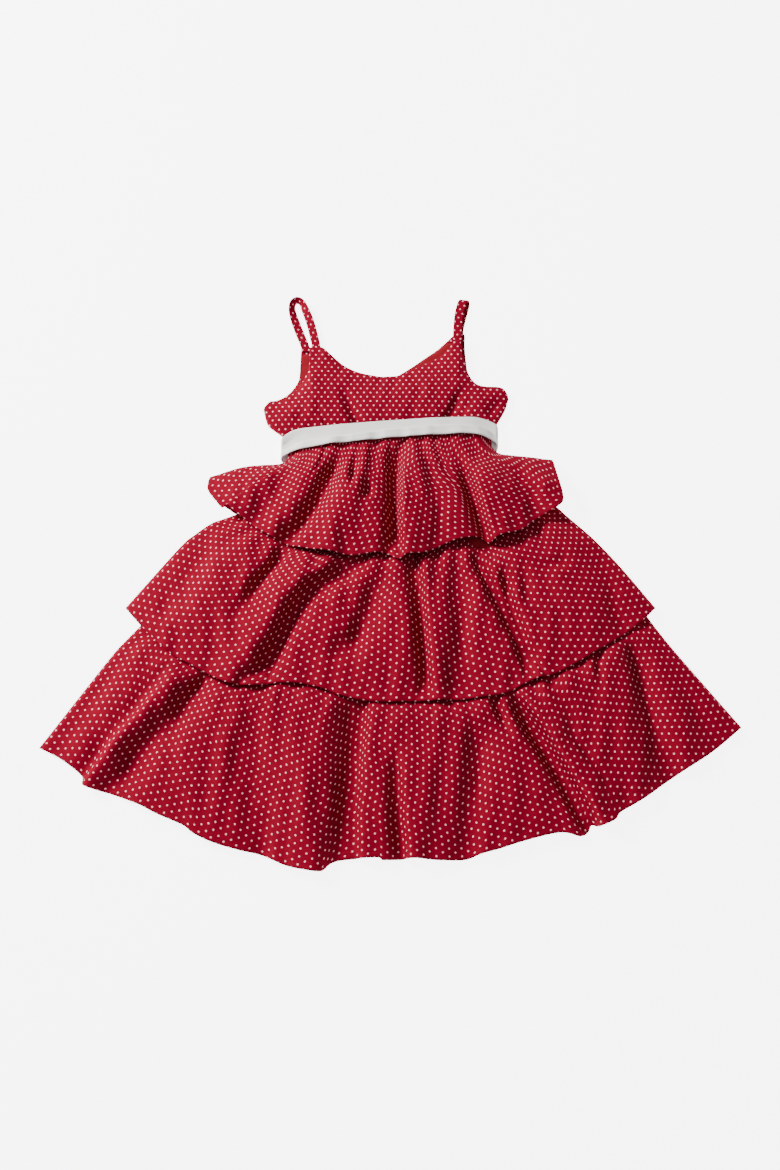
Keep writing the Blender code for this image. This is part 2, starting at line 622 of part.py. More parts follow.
def add_strap_end(pile, sections, stations):
    """Raises the pile to the part of a strap that another piece covers."""
    spread = np.linspace(0.0, 1.0, 19)[:, None]
    between = np.linspace(0.0, 1.0, 9)[:, None, None]
    for k in stations[:-1]:
        quad = sections[k] * (1 - between) + sections[k + 1] * between
        for i, j in ((0, 1), (3, 2)):
            points = quad[:, None, i] * (1 - spread) + quad[:, None, j] * spread
            points = points.reshape(-1, 3)
            pile.raise_to(points[:, 0], points[:, 1], points[:, 2])


def make_strap(name, sections):
    """A band with a plain oblong section, closed at both ends."""
    stations = len(sections)
    points = sections.reshape(-1, 3)
    faces = []
    for k in range(stations - 1):
        a, b = 4 * k, 4 * k + 4
        for i in range(4):
            j = (i + 1) % 4
            faces.append((a + i, b + j, a + j))
            faces.append((a + i, b + i, b + j))
    last = 4 * (stations - 1)
    faces += [(0, 1, 2), (0, 2, 3), (last, last + 2, last + 1), (last, last + 3, last + 2)]
    return make_mesh(name, points, faces, RED_PRINT, 0.8)


def belt_rows(table, x, shares):
    """Plan y of the belt at each x, one column for each share of its width."""
    rows = np.asarray(table)
    lower = np.interp(x, rows[:, 0], rows[:, 1])[:, None]
    upper = np.interp(x, rows[:, 0], rows[:, 2])[:, None]
    return lower + (upper - lower) * shares


def add_belt_back(pile):
    """Raises the pile to the belt's back run, which lies on the surface."""
    x = np.arange(BELT_BACK[0][0], BELT_BACK[-1][0], 0.5)
    y = belt_rows(BELT_BACK, x, np.linspace(0.0, 1.0, 60))
    pile.raise_to(np.repeat(x[:, None], 60, axis=1), y, BELT_WALL)


def make_belt(pile):
    """A flattened ring: a back run on the surface, a front run over the waist, and round ends."""
    shares = np.linspace(0.0, 1.0, 3)
    left, right = BELT_FRONT[0][0], BELT_FRONT[-1][0]
    inset = 3.2
    x = np.linspace(left + inset, right - inset, 37)
    front_y = belt_rows(BELT_FRONT, x, shares)
    plan_x = np.repeat(x[:, None], len(shares), axis=1)
    triangles = grid_triangles(len(x) - 1, len(shares) - 1)
    crown = 15.5 - 10.5 * np.abs(2 * (plan_x - x[0]) / (x[-1] - x[0]) - 1) ** 4
    low, _, _, _ = lay(pile, plan_x, front_y, crown, triangles)
    high = (low + thickness(plan_x, front_y, low, triangles, BELT_WALL)).reshape(plan_x.shape)
    low = low.reshape(plan_x.shape)
    back_x = np.linspace(right - inset, left + inset, 16)
    back_y = belt_rows(BELT_BACK, back_x, shares)
    stations = []
    for k in range(len(x)):
        stations.append((plan_x[k], front_y[k], low[k], plan_x[k], high[k]))
    stations += belt_end(plan_x[-1], front_y[-1], back_y[0], low[-1], high[-1], 1.0)
    for k in range(len(back_x)):
        line = np.full(len(shares), back_x[k])
        stations.append((line, back_y[k], np.full(len(shares), BELT_WALL), line, np.zeros(len(shares))))
    stations += belt_end(plan_x[0], front_y[0], back_y[-1], low[0], high[0], -1.0)[::-1]
    inner = np.stack([np.column_stack([sx, sy, sz]) for sx, sy, sz, _, _ in stations])
    outer = np.stack([np.column_stack([ox, sy, oz]) for _, sy, _, ox, oz in stations])
    rings, wide = inner.shape[0], inner.shape[1]
    points = np.concatenate([inner.reshape(-1, 3), outer.reshape(-1, 3)])
    offset = rings * wide
    faces = []
    for k in range(rings):
        n = (k + 1) % rings
        for j in range(wide - 1):
            a, b, c, d = k * wide + j, n * wide + j, n * wide + j + 1, k * wide + j + 1
            faces += [(a, c, b), (a, d, c)]
            faces += [(a + offset, b + offset, c + offset), (a + offset, c + offset, d + offset)]
        for j, flip in ((0, False), (wide - 1, True)):
            a, b = k * wide + j, n * wide + j
            rim = [(a, b, b + offset), (a, b + offset, a + offset)]
            faces += [face[::-1] for face in rim] if flip else rim
    return make_mesh("belt", points, faces, OFF_WHITE, 0.6)


def belt_end(x, front_y, back_y, low, high, way):
    """Three stations that round the belt from its front run to its back run."""
    end = []
    for share in (0.22, 0.5, 0.78):
        y = front_y * (1 - share) + back_y * share
        bow = math.sin(math.pi * share)
        inner_z = low * (1 - share) + BELT_WALL * share
        outer_z = high * (1 - share)
        end.append((x + way * 1.7 * bow, y, inner_z, x + way * (0.9 + 2.3 * bow), outer_z))
    return end


def build():
    """Lays the pieces from the surface up."""
    clear_scene()
    pile = Pile()
    straps = {name: strap_sections(name) for name in STRAPS}
    add_belt_back(pile)
    lay_panel(pile, "bodice_back", RED_PRINT)
    for sections in straps.values():
        add_strap_end(pile, sections, range(STRAP_STEPS - STRAP_TUCK, STRAP_STEPS + 1))
    lay_panel(pile, "bodice_back_lining", RED_PLAIN)
    for name in ("tier_1_back", "tier_2_back", "tier_3_back"):
        lay_panel(pile, name, RED_PRINT)
    for name in ("underskirt_back", "underskirt_front"):
        lay_panel(pile, name, RED_PLAIN)
    for name in ("tier_3_front", "tier_2_front", "tier_1_front"):
        lay_panel(pile, name, RED_PRINT)
    for sections in straps.values():
        add_strap_end(pile, sections, range(0, STRAP_TUCK + 1))
    lay_panel(pile, "bodice_front", RED_PRINT)
    make_belt(pile)
    for name, sections in straps.items():
        make_strap(name, sections)


build()
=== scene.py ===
"""Looks of the tiered party dress: thin printed cloth on the forms of its solids.

The dress lies flat with its front up. Each piece of cloth is laid on the pieces below
it, as in the solids, on a finer grid and with the small gathers and creases added.
Tables give plan points in millimetres. PLAN_SHIFT moves them to the middle of the box.
"""

import json
import math

import bpy
import numpy as np
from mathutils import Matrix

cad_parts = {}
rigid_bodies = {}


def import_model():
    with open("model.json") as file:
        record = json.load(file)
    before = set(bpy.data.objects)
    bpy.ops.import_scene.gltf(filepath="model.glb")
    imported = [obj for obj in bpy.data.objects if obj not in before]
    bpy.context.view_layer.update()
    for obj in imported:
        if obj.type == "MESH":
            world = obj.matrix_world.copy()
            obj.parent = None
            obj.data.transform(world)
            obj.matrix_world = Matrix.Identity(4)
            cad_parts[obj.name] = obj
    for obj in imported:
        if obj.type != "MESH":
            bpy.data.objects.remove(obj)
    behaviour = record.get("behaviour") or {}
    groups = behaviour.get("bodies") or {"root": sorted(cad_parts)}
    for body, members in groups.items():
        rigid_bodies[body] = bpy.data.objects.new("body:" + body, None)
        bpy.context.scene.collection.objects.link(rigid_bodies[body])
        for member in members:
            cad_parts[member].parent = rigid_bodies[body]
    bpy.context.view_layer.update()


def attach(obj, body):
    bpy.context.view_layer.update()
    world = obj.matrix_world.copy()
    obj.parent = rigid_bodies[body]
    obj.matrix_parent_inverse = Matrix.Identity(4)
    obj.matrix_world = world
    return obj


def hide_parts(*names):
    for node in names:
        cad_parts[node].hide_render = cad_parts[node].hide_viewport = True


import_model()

MM = 0.001
WALL = 1.2  # thickness of a piece of cloth, with its seam allowance
BELT_WALL = 1.5
BELT_CLOTH = BELT_WALL - 0.3  # thickness of the belt as seen
BELT_WIDTH = 25.0
BELT_INSET = 3.2  # how far its two runs stop short of its ends, where it turns over
BELT_CROWN = (15.5, 5.0)  # least height of its front run in the middle and at its ends
BELT_STITCH = 10.9  # from its middle line to the stitched line beside each edge
BELT_COUNTS = {"front": 181, "back": 60, "end": 12, "across": 17}  # its points each way
STRAP_WALL = 1.2
STRAP_WIDTH = 10.4
GAP = 0.35  # space between one piece and the next
CELL = 1.0  # side of one square of the height map
SAMPLE = 0.8  # spacing of the points that test one piece against the map
EDGE_ROUND = 6.0  # how far in from a side seam the cloth turns up
EDGE_SHARE = 0.25  # share of the height that it reaches there
SETTLE = 3.0  # how gently a trough flattens as it nears the surface
LEAST_FOLD = 4.0  # narrowest side of a fold
PLAN_SHIFT = (1.0, 14.41)
MAP_LOW = (-430.0, -360.0)
MAP_HIGH = (430.0, 390.0)

RED_PRINT = (0.20, 0.0023, 0.0145, 1.0)
RED_PLAIN = (0.24, 0.010, 0.018, 1.0)
DOT_COLOUR = (1.0, 0.42, 0.47, 1.0)
CAMERA_RISE = 75.0  # degrees above the surface
CAMERA_AWAY = 1.885
CAMERA_LENS = 50.9
FLOOR_SIZE = 4.0
FLOOR_DROP = 0.0004  # how far the floor lies below the dress
PAPER_GLOW = 6.0  # bright enough for the floor to show nearly white
STUDIO_GLOW = 0.22

# One row a light: its place, what it faces, its width, its power and its colour.
LIGHTS = {
    "key": ((-1.95, 1.15, 1.5), (0.0, -0.05, 0.0), 0.85, 184.0, (1.0, 0.99, 0.985)),
    "fill": ((1.6, -1.3, 1.9), (0.0, 0.0, 0.0), 2.0, 9.0, (0.98, 0.99, 1.0)),
    "overhead": ((0.2, 0.0, 2.6), (0.0, 0.0, 0.0), 1.8, 12.0, (1.0, 1.0, 1.0)),
}

# The belt's band in plan: x, lower edge, upper edge.
BELT_FRONT = (
    (-127.0, 149.5, 170.0),
    (-121.0, 153.0, 178.0),
    (-105.0, 158.0, 184.5),
    (-58.0, 163.5, 189.0),
    (0.0, 169.5, 193.5),
    (58.0, 173.5, 197.5),
    (92.0, 176.0, 198.5),
    (108.0, 174.0, 196.5),
    (120.0, 170.0, 192.0),
    (126.0, 166.5, 188.0),
)
BELT_BACK = (
    (-127.0, 146.0, 171.0),
    (0.0, 152.0, 177.0),
    (126.0, 159.0, 184.0),
)

# A back panel lies flat on what is below it.
FLAT = {"heights": (0.0, 0.0, 0.0), "side": 0.0, "run_in": 30.0}

# Each panel is a patch between a top line, a hem line and two side lines, in so many columns
# and rows.
# The heights are the panel's own at its top, middle and hem, away from its sides.
# The run-in is how far from a side the panel reaches its full height.
PANELS = {
    "bodice_back": {
        "top": (
            (-147, 212), (-139, 222), (-130, 225), (-120, 231), (-111, 242), (-107, 252),
            (-106, 268), (-104, 291), (-94, 291), (-86, 281), (-70, 269), (-46, 256),
            (-20, 249), (0, 250), (14, 258), (26, 266), (41, 277), (55, 287), (67, 298),
            (78, 308), (88, 308), (88.5, 296), (89, 284), (92, 258), (100, 244), (110, 238),
            (129, 236), (135, 230), (137, 222),
        ),
        "hem": ((-120, 165), (-60, 167), (0, 170), (60, 173), (119, 177)),
        "left": ((-147, 212), (-140, 191), (-124, 177), (-120, 165)),
        "right": ((137, 222), (132, 207), (122, 189), (119, 177)),
        **FLAT,
        "upright": True,
        "columns": 150,
        "rows": 50,
    },
    "bodice_back_lining": {
        "top": (
            (-144, 212), (-137, 219), (-129, 223), (-119, 229), (-110, 240), (-105, 251),
            (-104, 268), (-103, 280), (-95, 280), (-87, 276), (-70, 267), (-46, 254),
            (-20, 247), (0, 248), (14, 256), (26, 264), (41, 275), (55, 285), (66, 295),
            (74, 295), (86, 293), (86.5, 289), (87, 284), (91, 257), (99, 243), (110, 236),
            (127, 234), (132, 228), (134, 222),
        ),
        "hem": ((-112, 187), (-60, 188), (0, 190), (60, 192), (112, 195)),
        "left": ((-144, 212), (-136, 196), (-122, 190), (-112, 187)),
        "right": ((134, 222), (129, 208), (120, 199), (112, 195)),
        **FLAT,
        "upright": True,
        "columns": 150,
        "rows": 40,
    },
    "tier_1_back": {
        "top": ((-116, 155), (0, 161), (115, 167)),
        "hem": (
            (-205, 123), (-204, 106), (-186, 90), (-140, 62), (-80, 42), (0, 38),
            (60, 42), (110, 56), (150, 68), (186, 92), (191, 118), (184, 143),
        ),
        "left": ((-116, 155), (-117, 146), (-124, 140), (-149, 135), (-205, 123)),
        "right": ((115, 167), (117, 158), (125, 152), (140, 148), (184, 143)),
        **FLAT,
        "columns": 130,
        "rows": 36,
    },
    "tier_2_back": {
        "top": ((-168, 75), (-110, 60), (0, 52), (100, 56), (150, 68), (181, 90)),
        "hem": (
            (-296, -30), (-240, -80), (-180, -108), (-110, -110), (0, -128),
            (100, -122), (180, -98), (240, -70), (297, -30),
        ),
        "left": ((-168, 75), (-203, 67), (-296, -30)),
        "right": ((181, 90), (203, 76), (297, -30)),
        **FLAT,
        "columns": 160,
        "rows": 50,
    },
    "tier_3_back": {
        "top": ((-272, -52), (-180, -94), (0, -112), (180, -86), (282, -44)),
        "hem": (
            (-384, -187), (-330, -213), (-250, -254), (-160, -290), (-80, -310), (0, -300),
            (90, -296), (180, -274), (250, -250), (310, -214), (386, -166),
        ),
        "left": ((-272, -52), (-295, -69), (-384, -187)),
        "right": ((282, -44), (316, -77), (386, -166)),
        **FLAT,
        "columns": 200,
        "rows": 60,
    },
    "underskirt_back": {
        "top": ((-106, 153), (0, 158), (104, 164)),
        "hem": ((-262, -66), (-206, -98), (-160, -112), (0, -132), (120, -122), (200, -94), (272, -56)),
        "left": ((-106, 153), (-112, 140), (-168, 66), (-262, -66)),
        "right": ((104, 164), (110, 150), (176, 70), (272, -56)),
        **FLAT,
        "columns": 90,
        "rows": 60,
    },
    "underskirt_front": {
        "top": ((-106, 159), (-58, 166), (0, 174), (58, 179), (104, 175)),
        "hem": ((-262, -66), (-206, -98), (-160, -113), (0, -132), (120, -122), (200, -94), (272, -56)),
        "left": ((-106, 159), (-112, 143), (-168, 66), (-262, -66)),
        "right": ((104, 175), (110, 158), (176, 70), (272, -56)),
        "heights": (5.5, 7.5, 5.0),
        "side": 4.8,
        "run_in": 50.0,
        "columns": 120,
        "rows": 70,
    },
    "tier_3_front": {
        "top": (
            (-280, -46), (-246, -66), (-206, -90), (-160, -105), (-116, -104), (-60, -112),
            (0, -124), (60, -122), (120, -114), (165, -98), (200, -86), (240, -62),
            (272, -44), (290, -36),
        ),
        "hem": (
            (-389, -188), (-365, -200), (-340, -219), (-336, -231), (-308, -239), (-276, -251),
            (-254, -262), (-226, -274), (-214, -283), (-192, -293), (-164, -301), (-140, -306),
            (-115, -317), (-95, -322), (-75, -324), (-64, -315), (-49, -311), (-13, -309),
            (-7, -312), (24, -310), (55, -312), (82, -311), (99, -305), (121, -299),
            (150, -290), (186, -282), (207, -286), (217, -281), (221, -273), (230, -275),
            (246, -268), (252, -260), (278, -245), (311, -222), (355, -194), (391, -165),
        ),
        "left": ((-280, -46), (-298, -66), (-317, -89), (-389, -188)),
        "right": ((290, -36), (318, -75), (391, -165)),
        "heights": (13.0, 19.0, 10.0),
        "side": 1.6,
        "run_in": 75.0,
        "columns": 380,
        "rows": 84,
    },
    "tier_2_front": {
        "top": (
            (-175, 84), (-150, 70), (-122, 58), (-97, 50), (-68, 46), (-40, 43), (0, 42),
            (40, 45), (67, 54), (90, 50), (98, 42), (114, 41), (123, 54), (150, 68),
            (166, 80), (187, 96),
        ),
        "hem": (
            (-300, -28), (-277, -54), (-246, -83), (-224, -96), (-206, -106), (-181, -118),
            (-152, -121), (-116, -117), (-81, -122), (-57, -131), (-25, -138), (3, -139),
            (40, -138), (77, -137), (105, -133), (130, -129), (153, -117), (166, -112),
            (182, -108), (199, -100), (230, -82), (265, -60), (287, -42), (301, -28),
        ),
        "left": ((-175, 84), (-194, 77), (-206, 72), (-225, 58), (-242, 42), (-300, -28)),
        "right": ((187, 96), (195, 90), (205, 80), (234, 53), (265, 18), (301, -28)),
        "heights": (13.0, 23.0, 19.0),
        "side": 1.6,
        "run_in": 70.0,
        "columns": 330,
        "rows": 80,
    },
    "tier_1_front": {
        "top": (
            (-118, 158), (-93, 166), (-58, 170), (0, 178), (58, 183), (88, 185), (105, 182),
            (118, 175),
        ),
        "hem": (
            (-208, 128), (-210, 113), (-207, 105), (-199, 94), (-191, 85), (-186, 89),
            (-174, 79), (-146, 58), (-122, 45), (-97, 37), (-68, 32), (-43, 28), (-23, 31),
            (-5, 32), (9, 24), (19, 28), (40, 31), (67, 44), (84, 49), (102, 51), (114, 45),
            (126, 51), (149, 58), (166, 72), (193, 88), (198, 99), (193, 125), (188, 149),
        ),
        "left": ((-118, 158), (-120, 149), (-128, 143), (-149, 142), (-174, 139), (-208, 128)),
        "right": ((118, 175), (119, 164), (127, 156), (140, 154), (163, 152), (188, 149)),
        "heights": (10.5, 27.0, 24.0),
        "side": 3.4,
        "run_in": 60.0,
        "columns": 250,
        "rows": 76,
    },
    "bodice_front": {
        "top": (
            (-148, 211), (-146, 215), (-139, 221), (-128, 219), (-120, 224), (-112, 231),
            (-104, 242), (-98, 254), (-95, 266), (-94, 287), (-82, 289), (-71, 280),
            (-58, 268), (-46, 260), (-24, 253), (-5, 251), (12, 253), (26, 259), (40, 266),
            (56, 274), (69, 285), (76, 296), (83, 296), (85, 281), (92, 255), (100, 243),
            (110, 239), (130, 238), (137, 231), (139, 224),
        ),
        "hem": (
            (-122, 171), (-105, 178), (-58, 182), (0, 187), (58, 190), (92, 190),
            (108, 187), (121, 181),
        ),
        "left": ((-148, 211), (-142, 191), (-125, 178), (-122, 171)),
        "right": ((139, 224), (134, 209), (124, 191), (121, 181)),
        "heights": (7.5, 14.0, 9.5),
        "side": 3.4,
        "run_in": 38.0,
        "upright": True,
        "columns": 220,
        "rows": 76,
    },
}

# One row a fold: its line in plan, its height, its width to the west and east of
# the line, and the share of its length over which it fades at its start and end.
FOLDS = {
    "tier_1_front": (
        ("centre pleat crest", ((18, 168), (18, 130), (17, 90), (19, 14)), 8.0, 4.5, 24.0, 0.25, 0.0),
        ("centre pleat trough", ((8, 166), (8, 130), (6, 90), (9, 14)), -15.0, 13.0, 4.5, 0.15, 0.0),
        ("right pleat crest", ((88, 150), (97, 120), (109, 84), (122, 40)), 7.0, 4.5, 28.0, 0.35, 0.0),
        ("right pleat trough", ((81, 146), (90, 120), (102, 84), (114, 38)), -12.0, 13.0, 4.5, 0.30, 0.0),
        ("left trough", ((-58, 152), (-66, 132), (-84, 90), (-123, 38)), -14.0, 12.0, 9.0, 0.20, 0.0),
        ("left ridge", ((-40, 148), (-46, 125), (-54, 90), (-76, 26)), 7.0, 13.0, 16.0, 0.20, 0.0),
        ("small trough one", ((-42, 150), (-41, 134), (-42, 116)), -5.0, 5.0, 5.0, 0.3, 0.4),
        ("small trough two", ((-31, 120), (-25, 108), (-20, 94)), -5.0, 5.0, 5.0, 0.4, 0.4),
        ("far left trough", ((-104, 142), (-122, 116), (-166, 54)), -8.0, 16.0, 14.0, 0.35, 0.0),
        ("soft centre trough", ((44, 158), (55, 110), (60, 30)), -2.5, 12.0, 12.0, 0.3, 0.0),
        ("far right trough", ((134, 148), (152, 120), (172, 62)), -7.0, 14.0, 13.0, 0.3, 0.0),
        ("far right ridge", ((150, 150), (178, 120), (190, 100)), 4.0, 12.0, 12.0, 0.3, 0.3),
    ),
    "tier_2_front": (
        ("left trough", ((-114, 54), (-130, 24), (-148, -4), (-184, -56)), -8.5, 9.0, 10.0, 0.15, 0.4),
        (
            "hook trough", ((-30, 30), (-55, 10), (-84, -6), (-102, -26), (-128, -76), (-160, -130)),
            -18.0, 8.0, 12.0, 0.16, 0.0,
        ),
        (
            "hook ridge", ((-48, 34), (-84, 14), (-116, -14), (-150, -70), (-186, -124)),
            7.0, 16.0, 12.0, 0.3, 0.0,
        ),
        ("inner trough", ((-18, 18), (-19, -18), (-36, -64), (-74, -94)), -11.0, 13.0, 14.0, 0.25, 0.3),
        ("centre crease", ((25, 40), (31, 0), (35, -50), (41, -146)), -11.0, 9.0, 4.5, 0.1, 0.0),
        ("centre ridge", ((36, 40), (43, 0), (47, -50), (53, -146)), 5.0, 8.0, 16.0, 0.1, 0.0),
        (
            "right crease one", ((94, 38), (116, -8), (136, -50), (150, -84), (166, -124)),
            -15.0, 8.0, 7.0, 0.15, 0.0,
        ),
        (
            "right crease two", ((124, 24), (134, -20), (145, -48), (156, -82), (172, -122)),
            -10.0, 8.0, 6.0, 0.2, 0.2,
        ),
        (
            "right ridge", ((112, 30), (124, -12), (138, -44), (152, -78), (168, -118)),
            5.0, 8.0, 8.0, 0.2, 0.1,
        ),
        ("left side trough", ((-196, 66), (-222, 22), (-262, -48)), -7.0, 15.0, 15.0, 0.3, 0.1),
        ("soft trough", ((66, 40), (78, -30), (86, -146)), -5.0, 14.0, 13.0, 0.3, 0.0),
        ("right side trough", ((222, 52), (246, 2), (266, -66)), -7.0, 16.0, 16.0, 0.3, 0.0),
        ("right wrinkle", ((160, 14), (188, 21), (212, 25)), -4.0, 6.0, 6.0, 0.4, 0.4),
        ("short crease", ((148, 30), (152, -2), (154, -36)), -4.0, 6.0, 6.0, 0.3, 0.4),
    ),
    "tier_3_front": (
        (
            "left pleat crest", ((-226, -92), (-262, -136), (-304, -186), (-341, -240)),
            5.5, 6.0, 18.0, 0.3, 0.0,
        ),
        (
            "left pleat trough", ((-240, -82), (-274, -130), (-314, -182), (-352, -236)),
            -6.0, 12.0, 7.0, 0.2, 0.0,
        ),
        (
            "broad trough", ((-198, -96), (-222, -134), (-272, -190), (-320, -246)),
            -12.0, 16.0, 20.0, 0.15, 0.05,
        ),
        ("soft trough", ((-156, -140), (-152, -205), (-142, -318)), -8.0, 17.0, 17.0, 0.3, 0.0),
        ("left bulge", ((-100, -150), (-90, -230), (-84, -336)), 6.0, 18.0, 16.0, 0.4, 0.0),
        (
            "main trough", ((-34, -122), (-38, -170), (-40, -220), (-46, -322)),
            -22.0, 18.0, 8.0, 0.15, 0.0,
        ),
        ("centre crease", ((4, -180), (9, -245), (14, -322)), -10.0, 11.0, 4.5, 0.3, 0.0),
        ("centre crest", ((16, -176), (21, -245), (25, -322)), 5.0, 7.0, 18.0, 0.3, 0.0),
        ("soft right trough", ((98, -150), (92, -205), (80, -318)), -10.0, 12.0, 14.0, 0.25, 0.0),
        ("upper crease", ((110, -122), (122, -152), (138, -186)), -5.0, 6.0, 6.0, 0.2, 0.4),
        (
            "diagonal trough", ((130, -124), (154, -162), (181, -206), (199, -240), (226, -286)),
            -20.0, 10.0, 7.0, 0.15, 0.0,
        ),
        (
            "diagonal ridge", ((142, -118), (170, -166), (198, -208), (214, -236), (244, -280)),
            7.0, 10.0, 18.0, 0.25, 0.0,
        ),
        ("thin crease", ((231, -66), (233, -100), (234, -136)), -4.0, 5.0, 5.0, 0.2, 0.5),
        (
            "right trough", ((272, -52), (284, -110), (292, -160), (312, -232)),
            -12.0, 17.0, 13.0, 0.2, 0.0,
        ),
        ("far right trough", ((312, -90), (338, -140), (372, -200)), -5.0, 12.0, 12.0, 0.3, 0.0),
        ("far left trough", ((-300, -84), (-330, -130), (-372, -196)), -5.0, 12.0, 12.0, 0.3, 0.0),
    ),
    "bodice_front": (
        ("left dart crease", ((-61, 246), (-50, 222), (-36, 188)), -7.0, 9.0, 6.0, 0.6, 0.0),
        ("right dart crease", ((90, 246), (80, 224), (65, 192)), -7.0, 6.0, 9.0, 0.6, 0.0),
        ("right side crease", ((134, 226), (124, 214), (112, 198)), -4.0, 6.0, 6.0, 0.4, 0.2),
        ("left side crease", ((-118, 206), (-104, 198), (-88, 186)), -4.0, 6.0, 6.0, 0.4, 0.0),
        ("inner crease", ((98, 226), (88, 210), (80, 192)), -4.0, 5.0, 5.0, 0.5, 0.0),
    ),
}

# Gathers fade away from the top line: how many, how high, and how far down they reach.
GATHERS = {
    "tier_1_front": (11, 1.4, 0.40),
    "tier_2_front": (17, 1.4, 0.35),
    "tier_3_front": (22, 1.6, 0.35),
}

# One row a station: centre x, y, z, then the plan angle and the tilt of the strap's width.
STRAPS = {
    "strap_left": (
        (-87.0, 276.0, 4.2, 0.0, 0.0),
        (-87.0, 289.0, 4.2, 0.0, 0.0),
        (-90.5, 306.0, 4.3, 5.0, 6.0),
        (-95.5, 324.0, 4.7, 11.0, 15.0),
        (-101.0, 338.0, 5.4, 24.0, 34.0),
        (-105.0, 346.0, 6.2, 55.0, 52.0),
        (-110.5, 349.0, 6.4, 95.0, 60.0),
        (-115.5, 345.0, 6.2, 140.0, 50.0),
        (-116.0, 336.0, 5.2, 170.0, 30.0),
        (-112.5, 323.0, 3.6, 186.0, 12.0),
        (-106.5, 307.0, 2.4, 188.0, 3.0),
        (-100.6, 292.0, 2.2, 182.0, 0.0),
        (-99.6, 285.0, 2.2, 180.0, 0.0),
    ),
    "strap_right": (
        (79.0, 284.0, 4.6, 0.0, 0.0),
        (79.5, 297.0, 4.6, 0.0, 0.0),
        (80.0, 312.0, 4.6, -2.0, 0.0),
        (81.5, 329.0, 4.7, -6.0, 0.0),
        (84.5, 343.0, 4.7, -10.0, 0.0),
        (87.0, 349.4, 4.2, -8.0, 0.0),
        (88.8, 350.4, 3.1, -2.0, 0.0),
        (89.6, 348.6, 2.0, 4.0, 0.0),
        (89.6, 342.0, 1.4, 10.0, 0.0),
        (86.0, 328.0, 1.1, 10.0, 0.0),
        (82.6, 314.0, 1.6, 5.0, 0.0),
        (81.8, 306.0, 2.2, 2.0, 0.0),
        (81.4, 300.5, 2.2, 0.0, 0.0),
    ),
}
STRAP_STEPS = 34
STRAP_TUCK = 7  # stations at each end that other pieces cover
STRAP_STATIONS = 141  # of the strap as seen
STRAP_POINTS = 24  # round its section
STRAP_SQUARE = 0.45  # power of the section's sine and cosine, which squares its corners
STRAP_EASE = 0.1  # how far the strap as seen lies inside its solid's faces

CLOTH = 0.7  # thickness of the cloth as seen, in millimetres
HEM_TURN = 7.0  # width of the hem's turned edge
HEM_LIFT = 0.35  # how much thicker the cloth is there
HEM_RAMP = 1.2  # width over which it thickens
HEM_STITCH = 1.2  # from the top of the turned edge down to its stitched line
TUCK_REACH = 0.11  # share of a panel's length over which its tucked top rises again

# How many times lines are smoothed: a tier and the belt drawn tight, and the flat cloth's two ways.
TIER_PASSES = 16
BELT_PASSES = 40
ACROSS_PASSES = 10
UP_PASSES = 30

# The dots' rows: how far apart along a row and from row to next-but-one, with one between.
DOTS = {
    "dotted_cotton_bodice": (7.6, 10.9, 0.96),
    "dotted_cotton_tier_1": (8.6, 13.2, 1.05),
    "dotted_cotton_tiers": (14.4, 8.6, 1.06),
}

